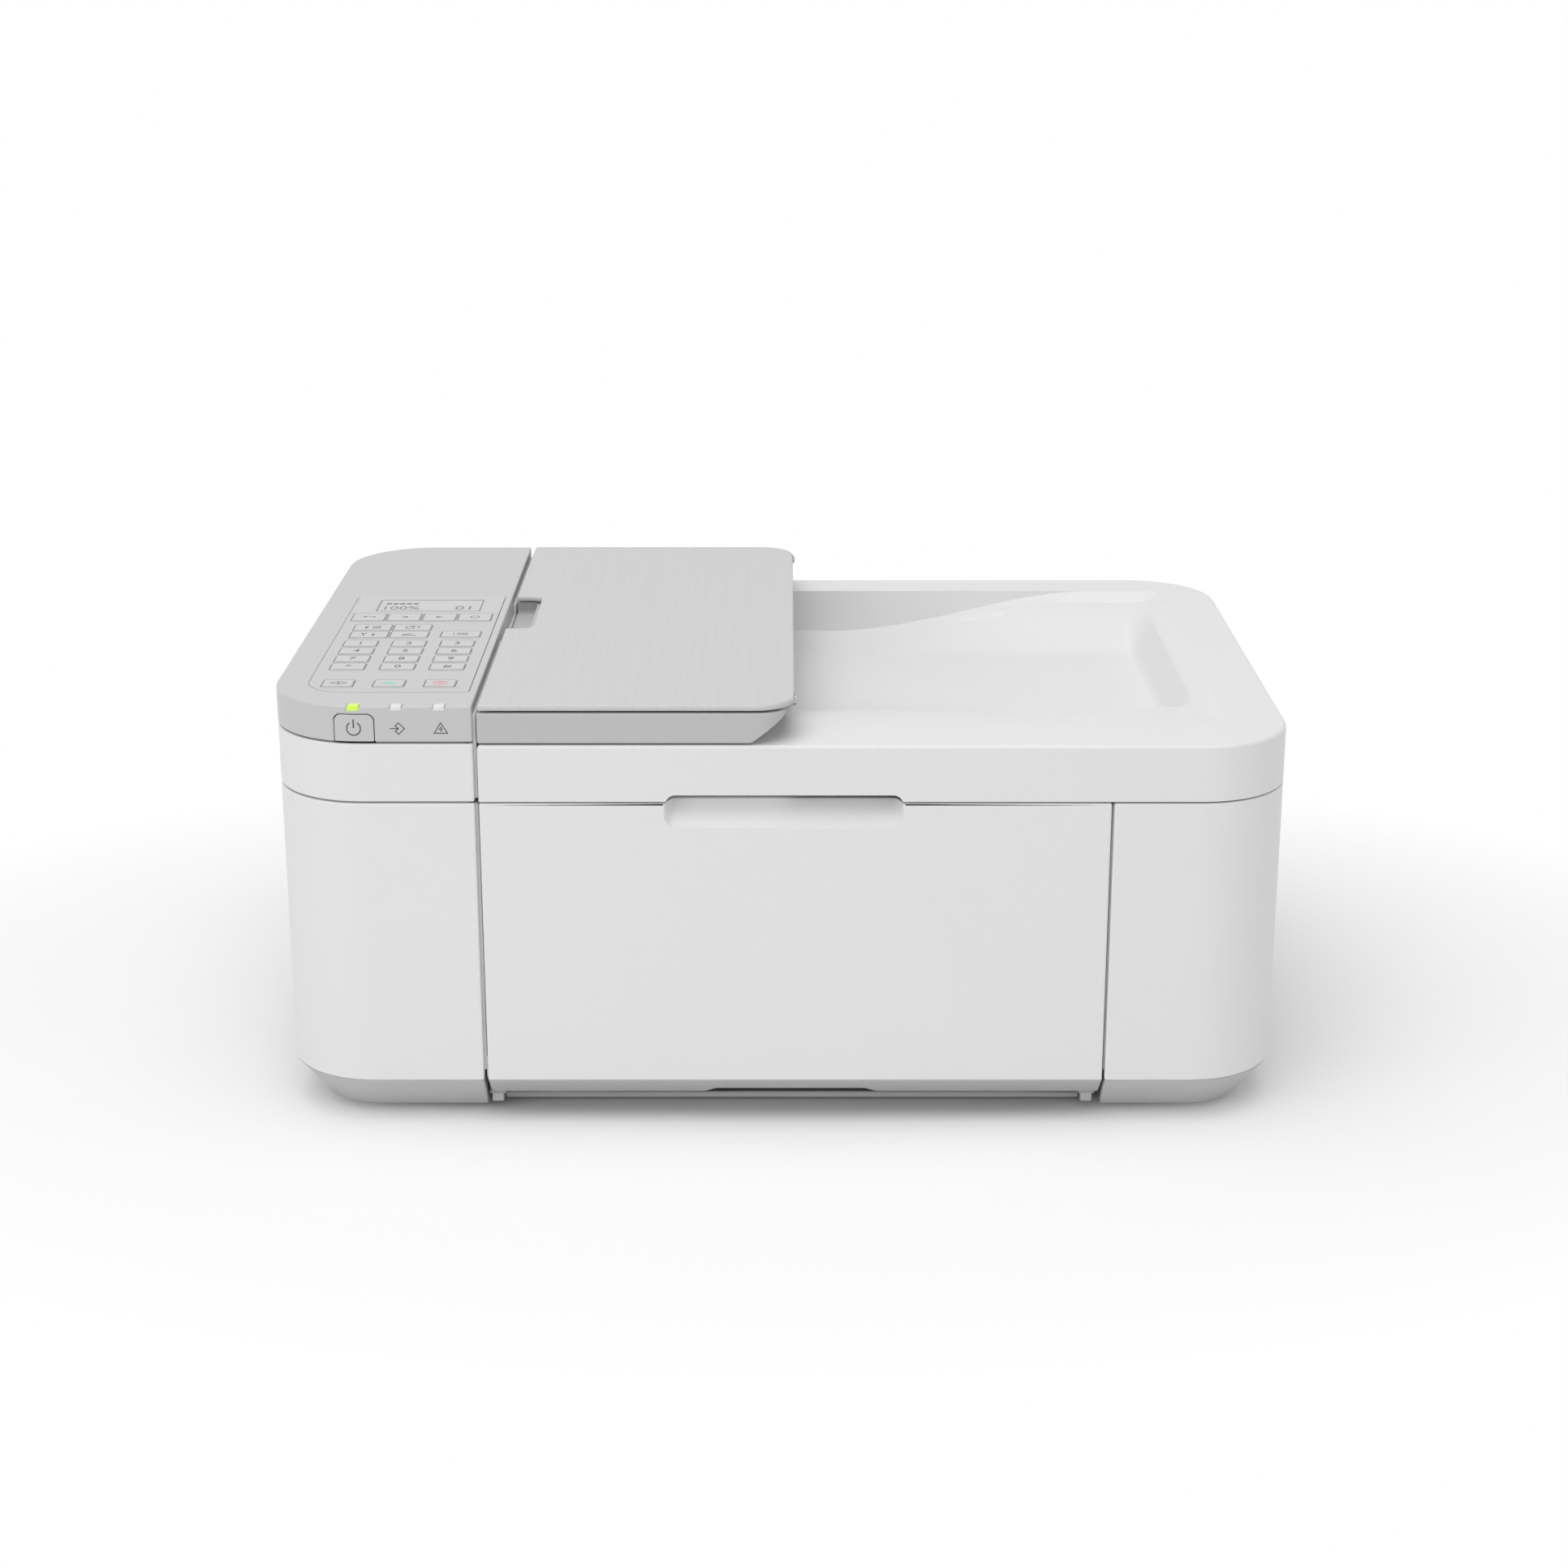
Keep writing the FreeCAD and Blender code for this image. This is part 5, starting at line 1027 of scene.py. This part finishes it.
# Two sheets, one behind the other
COPY_MARK = stroke(block(-2.9, -2.1, 0.5, 1.3), 0.4, closed=True)
COPY_MARK += stroke([(-1.4, 2.0), (2.9, 2.0), (2.9, -1.6)], 0.4)

# Outlined and filled start marks, and the ringed stop mark
START_MARK = stroke([(-3.6, 0.0), (0.0, -2.2), (3.6, 0.0), (0.0, 2.2)], 0.4, closed=True)
START_MARK += stroke([(0.0, -1.2), (0.0, 1.2)], 0.6)
START_FILL = [[(-3.6, 0.0), (0.0, -2.3), (3.6, 0.0), (0.0, 2.3)]]
STOP_MARK = ring(2.9, 0.45) + stroke([(-1.5, 1.0), (1.5, 1.0), (0.0, -1.6)], 0.45, closed=True)

# Open ring and bar of a power switch
POWER_MARK = stroke(arc(2.9, 122.0, 418.0, 40), 0.55) + stroke([(0.0, 0.2), (0.0, 4.0)], 0.6)

# Arrow that enters a diamond
DATA_MARK = stroke([(-0.9, 1.0), (0.6, 2.5), (3.1, 0.0), (0.6, -2.5), (-0.9, -1.0)], 0.42)
DATA_MARK += stroke([(-0.6, 1.1), (0.6, 0.0), (-0.6, -1.1)], 0.42)
DATA_MARK += stroke([(-3.0, 0.0), (0.4, 0.0)], 0.42)

# Triangle around a jagged line
ALARM_MARK = stroke([(-2.8, -2.0), (2.8, -2.0), (0.0, 2.5)], 0.42, closed=True)
ALARM_MARK += stroke([(0.3, 1.0), (-0.6, -0.2), (0.6, -0.2), (-0.1, -1.4)], 0.4)

DIGIT_NAMES = (*"1234567890", "star", "hash")
DIGIT_KEYS = {"number_key_" + name: sign for name, sign in zip(DIGIT_NAMES, "1234567890*#")}
DIGIT_HEIGHT = 6.2
KEY_MARKS = {
    "back_key": BACK_MARK,
    "left_key": pointer(-1),
    "right_key": pointer(1),
    "enter_key": ring(1.9, 0.45),
    "setup_key": TOOL_MARK,
    "scan_key": SCAN_MARK,
    "fax_key": SEND_MARK,
    "copy_key": COPY_MARK,
    "menu_key": list_mark(),
    "start_black_key": START_MARK,
    "start_colour_key": START_FILL,
    "stop_key": STOP_MARK,
}
KEY_INKS = {"start_colour_key": "start", "stop_key": "stop"}
KEY_LINE_INSET = 0.30
KEY_LINE_CORNER = 1.0
KEY_LINE_WIDTH = 0.30
PANEL_MARKS = {"data_mark": (-161.2, DATA_MARK), "alarm_mark": (-142.9, ALARM_MARK)}
POWER_MARK_X = -179.4
FRONT_MARK_Z = 180.0

# Clear part of the display film, and on it a dark line of painted shade along the window's bevelled edge,
# the bars and the figures
SCREEN = (-35.3, -15.0, 33.9, 18.0)
EDGE_SHADE_INSET = 0.5
EDGE_SHADE_WIDTH = 0.55
BAR_COUNT = 5
BAR_START = 3.5
BAR_LEVEL = 14.5
BAR_PITCH = 3.2
BAR_SIZE = (2.4, 2.6)
FIGURE_LEVEL = 6.2
FIGURE_INSETS = (11.0, 8.0)
LEVEL_FIGURES = ("100%", 8.5)
COUNT_FIGURES = ("01", 9.5)


def text_mesh(text, height, centre=(0.0, 0.0)):
    """Return flat lettering."""
    curve = bpy.data.curves.new("lettering", "FONT")
    curve.body = text
    curve.size = height
    curve.align_x = "CENTER"
    curve.align_y = "CENTER"
    mesh = shown_mesh(placed("lettering", curve))
    mesh.transform(Matrix.Translation((*centre, 0.0)))
    return mesh


def print_piece(name, body, place, faces, look="ink", lettering=(), slot="black_plastic", bend=None):
    """Print faces and lettering as thin ink, put on a surface by a matrix."""
    form = bmesh.new()
    for face in faces:
        form.faces.new([form.verts.new((point[0], point[1], 0.0)) for point in face])
    for mesh in lettering:
        form.from_mesh(mesh)
    bmesh.ops.recalc_face_normals(form, faces=form.faces)
    for face in form.faces:
        if face.normal.z < 0.0:
            face.normal_flip()
    height = sizes().mark_height / MM
    base = set(form.verts)
    bmesh.ops.extrude_face_region(form, geom=form.faces[:])
    for vertex in form.verts:
        vertex.co.z += -height if vertex in base else height
    form.transform(place @ Matrix.Scale(MM, 4))
    if bend:
        for vertex in form.verts:
            vertex.co.y += bend(vertex.co.x)
    new_piece(name, form, body, slot, look)


def top_of(name):
    """Return the matrix of a piece's upper face."""
    low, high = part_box(name)
    return Matrix.Translation(((low.x + high.x) / 2.0, (low.y + high.y) / 2.0, high.z))


def front_at(x):
    """Return the matrix of a place on the front of the panel."""
    place = Matrix.Translation((x * MM, CAD_BOX[0][1], FRONT_MARK_Z * MM))
    return place @ Matrix.Rotation(math.radians(90.0), 4, "X")


def corner_bend(x):
    """Return how far the front left corner curves back at a place."""
    over = min(x - CASE_CORNER_X, 0.0)
    return CASE_RADIUS - math.sqrt(CASE_RADIUS * CASE_RADIUS - over * over)


class PRINTER_OT_key_marks(Operator):
    """Print the numbers and pictures on the keys"""

    bl_idname = "printer.key_marks"
    bl_label = "Key Marks"

    def execute(self, context):
        for key in (*DIGIT_KEYS, *KEY_MARKS):
            low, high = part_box(key)
            lines = key_outline((high - low) / MM / 2.0)
            print_piece(key + "_outline", key, top_of(key), lines, "key_line")
        for key, text in DIGIT_KEYS.items():
            print_piece(key + "_mark", key, top_of(key), [], lettering=[text_mesh(text, DIGIT_HEIGHT)])
        for key, faces in KEY_MARKS.items():
            print_piece(key + "_mark", key, top_of(key), faces, KEY_INKS.get(key, "ink"))
        print_piece("power_key_mark", "power_key", front_at(POWER_MARK_X), POWER_MARK, bend=corner_bend)
        return {"FINISHED"}


class PRINTER_OT_panel_marks(Operator):
    """Print the lamp pictures on the panel's front, and in the display its film, a dark line of painted
    shade along the window's edge, and the bars and figures
    """

    bl_idname = "printer.panel_marks"
    bl_label = "Panel and Display Marks"

    def execute(self, context):
        for name, (x, faces) in PANEL_MARKS.items():
            print_piece(name, "main_body", front_at(x), faces)
        place = top_of("display_window")
        low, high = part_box("display_window")
        half_x = (high.x - low.x) / MM / 2.0
        half_y = (high.y - low.y) / MM / 2.0
        left, foot, right, top = SCREEN
        film = [block(left, top, right, half_y), block(left, -half_y, right, foot),
                block(-half_x, -half_y, left, half_y), block(right, -half_y, half_x, half_y)]
        print_piece("display_strip", "main_body", place, film, "display_strip", slot="overlay")
        # Dark line just inside the window's edge: painted shade for its bevelled rim, in figure ink
        edge_shade = block(EDGE_SHADE_INSET - half_x, EDGE_SHADE_INSET - half_y, half_x - EDGE_SHADE_INSET,
                       half_y - EDGE_SHADE_INSET)
        lines = stroke(edge_shade, EDGE_SHADE_WIDTH, closed=True)
        length, width = BAR_SIZE
        level = BAR_LEVEL - half_y
        for index in range(BAR_COUNT):
            start = BAR_START + index * BAR_PITCH - half_x
            lines += stroke([(start, level), (start + length, level)], width)
        level = FIGURE_LEVEL - half_y
        lettering = [text_mesh(*LEVEL_FIGURES, (FIGURE_INSETS[0] - half_x, level)),
                     text_mesh(*COUNT_FIGURES, (half_x - FIGURE_INSETS[1], level))]
        print_piece("display_figures_and_edge_shade", "main_body", place, lines, "figure", lettering)
        return {"FINISHED"}


# Studio, with the camera that was fitted to the photo

CAMERA_PLACE = (0.0007, -1.27567, 0.51745)
CAMERA_TILT = math.radians(72.22)
CAMERA_LENS = 64.62
CAMERA_SENSOR = 36.0
AMBIENT = 0.40
FLOOR_SHAPE = (0.68, 1.0, 1.0)
FLOOR_CLEAR = 0.150
FLOOR_FADE = 0.22

# Name, place, target, width and power of each lamp
STUDIO_LAMPS = (
    ("overhead", (-0.2, -0.5, 2.3), (0.0, 0.0, 0.1), 2.4, 33.0),
    ("front_left", (-1.2, -1.9, 1.0), (-0.1, 0.0, 0.1), 1.0, 5.7),
    ("front_right", (0.9, -3.0, 1.3), (0.0, 0.0, 0.1), 1.6, 3.6),
    ("corner_left", (-1.9, -1.25, 0.7), (-0.2, 0.0, 0.1), 0.7, 4.0),
    ("corner_right", (2.1, -1.35, 0.7), (0.2, 0.0, 0.1), 0.7, 2.5),
)


def background_ray(tree):
    """Return a value that is one for rays that show the background."""
    path = new_node(tree, "LightPath", {}).outputs
    shown = math_node(tree, "MAXIMUM", path["Is Camera Ray"], path["Is Glossy Ray"])
    return math_node(tree, "MAXIMUM", shown, path["Is Transmission Ray"])


def floor_finish():
    """Return a pale floor that takes the shadow and clears to white farther out."""
    material = finish("floor")
    tree = material.node_tree
    values = {0: object_place(tree), 1: FLOOR_SHAPE}
    shape = new_node(tree, "VectorMath", values, operation="MULTIPLY")
    length = new_node(tree, "VectorMath", {0: shape.outputs[0]}, operation="LENGTH")
    over = math_node(tree, "SUBTRACT", length.outputs["Value"], FLOOR_CLEAR)
    far = clamped(tree, math_node(tree, "DIVIDE", over, FLOOR_FADE))
    clear = math_node(tree, "MULTIPLY", far, background_ray(tree))
    white = new_node(tree, "Emission", {"Color": WHITE})
    mix_shaders(tree, clear, tree.nodes["Principled BSDF"], white, tree.nodes["Material Output"])
    return material


class PRINTER_OT_stage(Operator):
    """Set up the floor, the white surround, the lamps and the camera"""

    bl_idname = "printer.stage"
    bl_label = "Studio"

    def execute(self, context):
        scene = context.scene
        scene.view_settings.view_transform = "Standard"
        half = sizes().floor_width / 2.0
        mesh = bpy.data.meshes.new("studio_floor")
        corners = [(x, y, 0.0) for x, y in block(-half, -half, half, half)]
        mesh.from_pydata(corners, [], [(0, 1, 2, 3)])
        mesh.materials.append(floor_finish())
        placed("studio_floor", mesh)
        world = bpy.data.worlds.new("studio_surround")
        scene.world = world
        world.use_nodes = True
        tree = world.node_tree
        tree.nodes.clear()
        ambient = new_node(tree, "Background", {"Color": WHITE, "Strength": AMBIENT})
        white = new_node(tree, "Background", {"Color": WHITE})
        end = new_node(tree, "OutputWorld", {})
        mix_shaders(tree, background_ray(tree), ambient, white, end)
        for name, place, target, width, power in STUDIO_LAMPS:
            light = bpy.data.lights.new(name, "AREA")
            light.size = width
            light.energy = power
            lamp = placed(name, light)
            lamp.location = place
            lamp.rotation_euler = (Vector(target) - Vector(place)).to_track_quat("-Z", "Y").to_euler()
        camera = placed("camera", bpy.data.cameras.new("camera"))
        camera.data.lens = CAMERA_LENS
        camera.data.sensor_width = CAMERA_SENSOR
        camera.location = CAMERA_PLACE
        camera.rotation_euler = (CAMERA_TILT, 0.0, 0.0)
        scene.camera = camera
        return {"FINISHED"}


OPERATORS = (
    PRINTER_OT_casing,
    PRINTER_OT_handle_scoop,
    PRINTER_OT_gap_linings,
    PRINTER_OT_document_cover,
    PRINTER_OT_pressure_pad,
    PRINTER_OT_feeder,
    PRINTER_OT_control_panel,
    PRINTER_OT_lamp_lenses,
    PRINTER_OT_print_engine,
    PRINTER_OT_rear_contacts,
    PRINTER_OT_key_marks,
    PRINTER_OT_panel_marks,
    PRINTER_OT_stage,
)


class PRINTER_PT_dressing(Panel):
    """Lists the steps that dress the printer"""

    bl_idname = "PRINTER_PT_dressing"
    bl_label = "Printer"
    bl_space_type = "VIEW_3D"
    bl_region_type = "UI"
    bl_category = "Printer"

    def draw(self, context):
        for operator in OPERATORS:
            self.layout.operator(operator.bl_idname)
        for group in (colours(), sizes()):
            column = self.layout.column()
            for name in group.__annotations__:
                column.prop(group, name)


CLASSES = (PrinterColours, PrinterSizes, *OPERATORS, PRINTER_PT_dressing)


def register():
    """Register the classes and the scene's properties."""
    for item in CLASSES:
        bpy.utils.register_class(item)
    Scene.printer_colours = PointerProperty(type=PrinterColours)
    Scene.printer_sizes = PointerProperty(type=PrinterSizes)


def unregister():
    """Remove the scene's properties and the classes."""
    del Scene.printer_sizes
    del Scene.printer_colours
    for item in reversed(CLASSES):
        bpy.utils.unregister_class(item)


def main():
    """Dress the printer."""
    register()
    for operator in OPERATORS:
        group, name = operator.bl_idname.split(".")
        getattr(getattr(bpy.ops, group), name)()


if __name__ == "__main__":
    main()
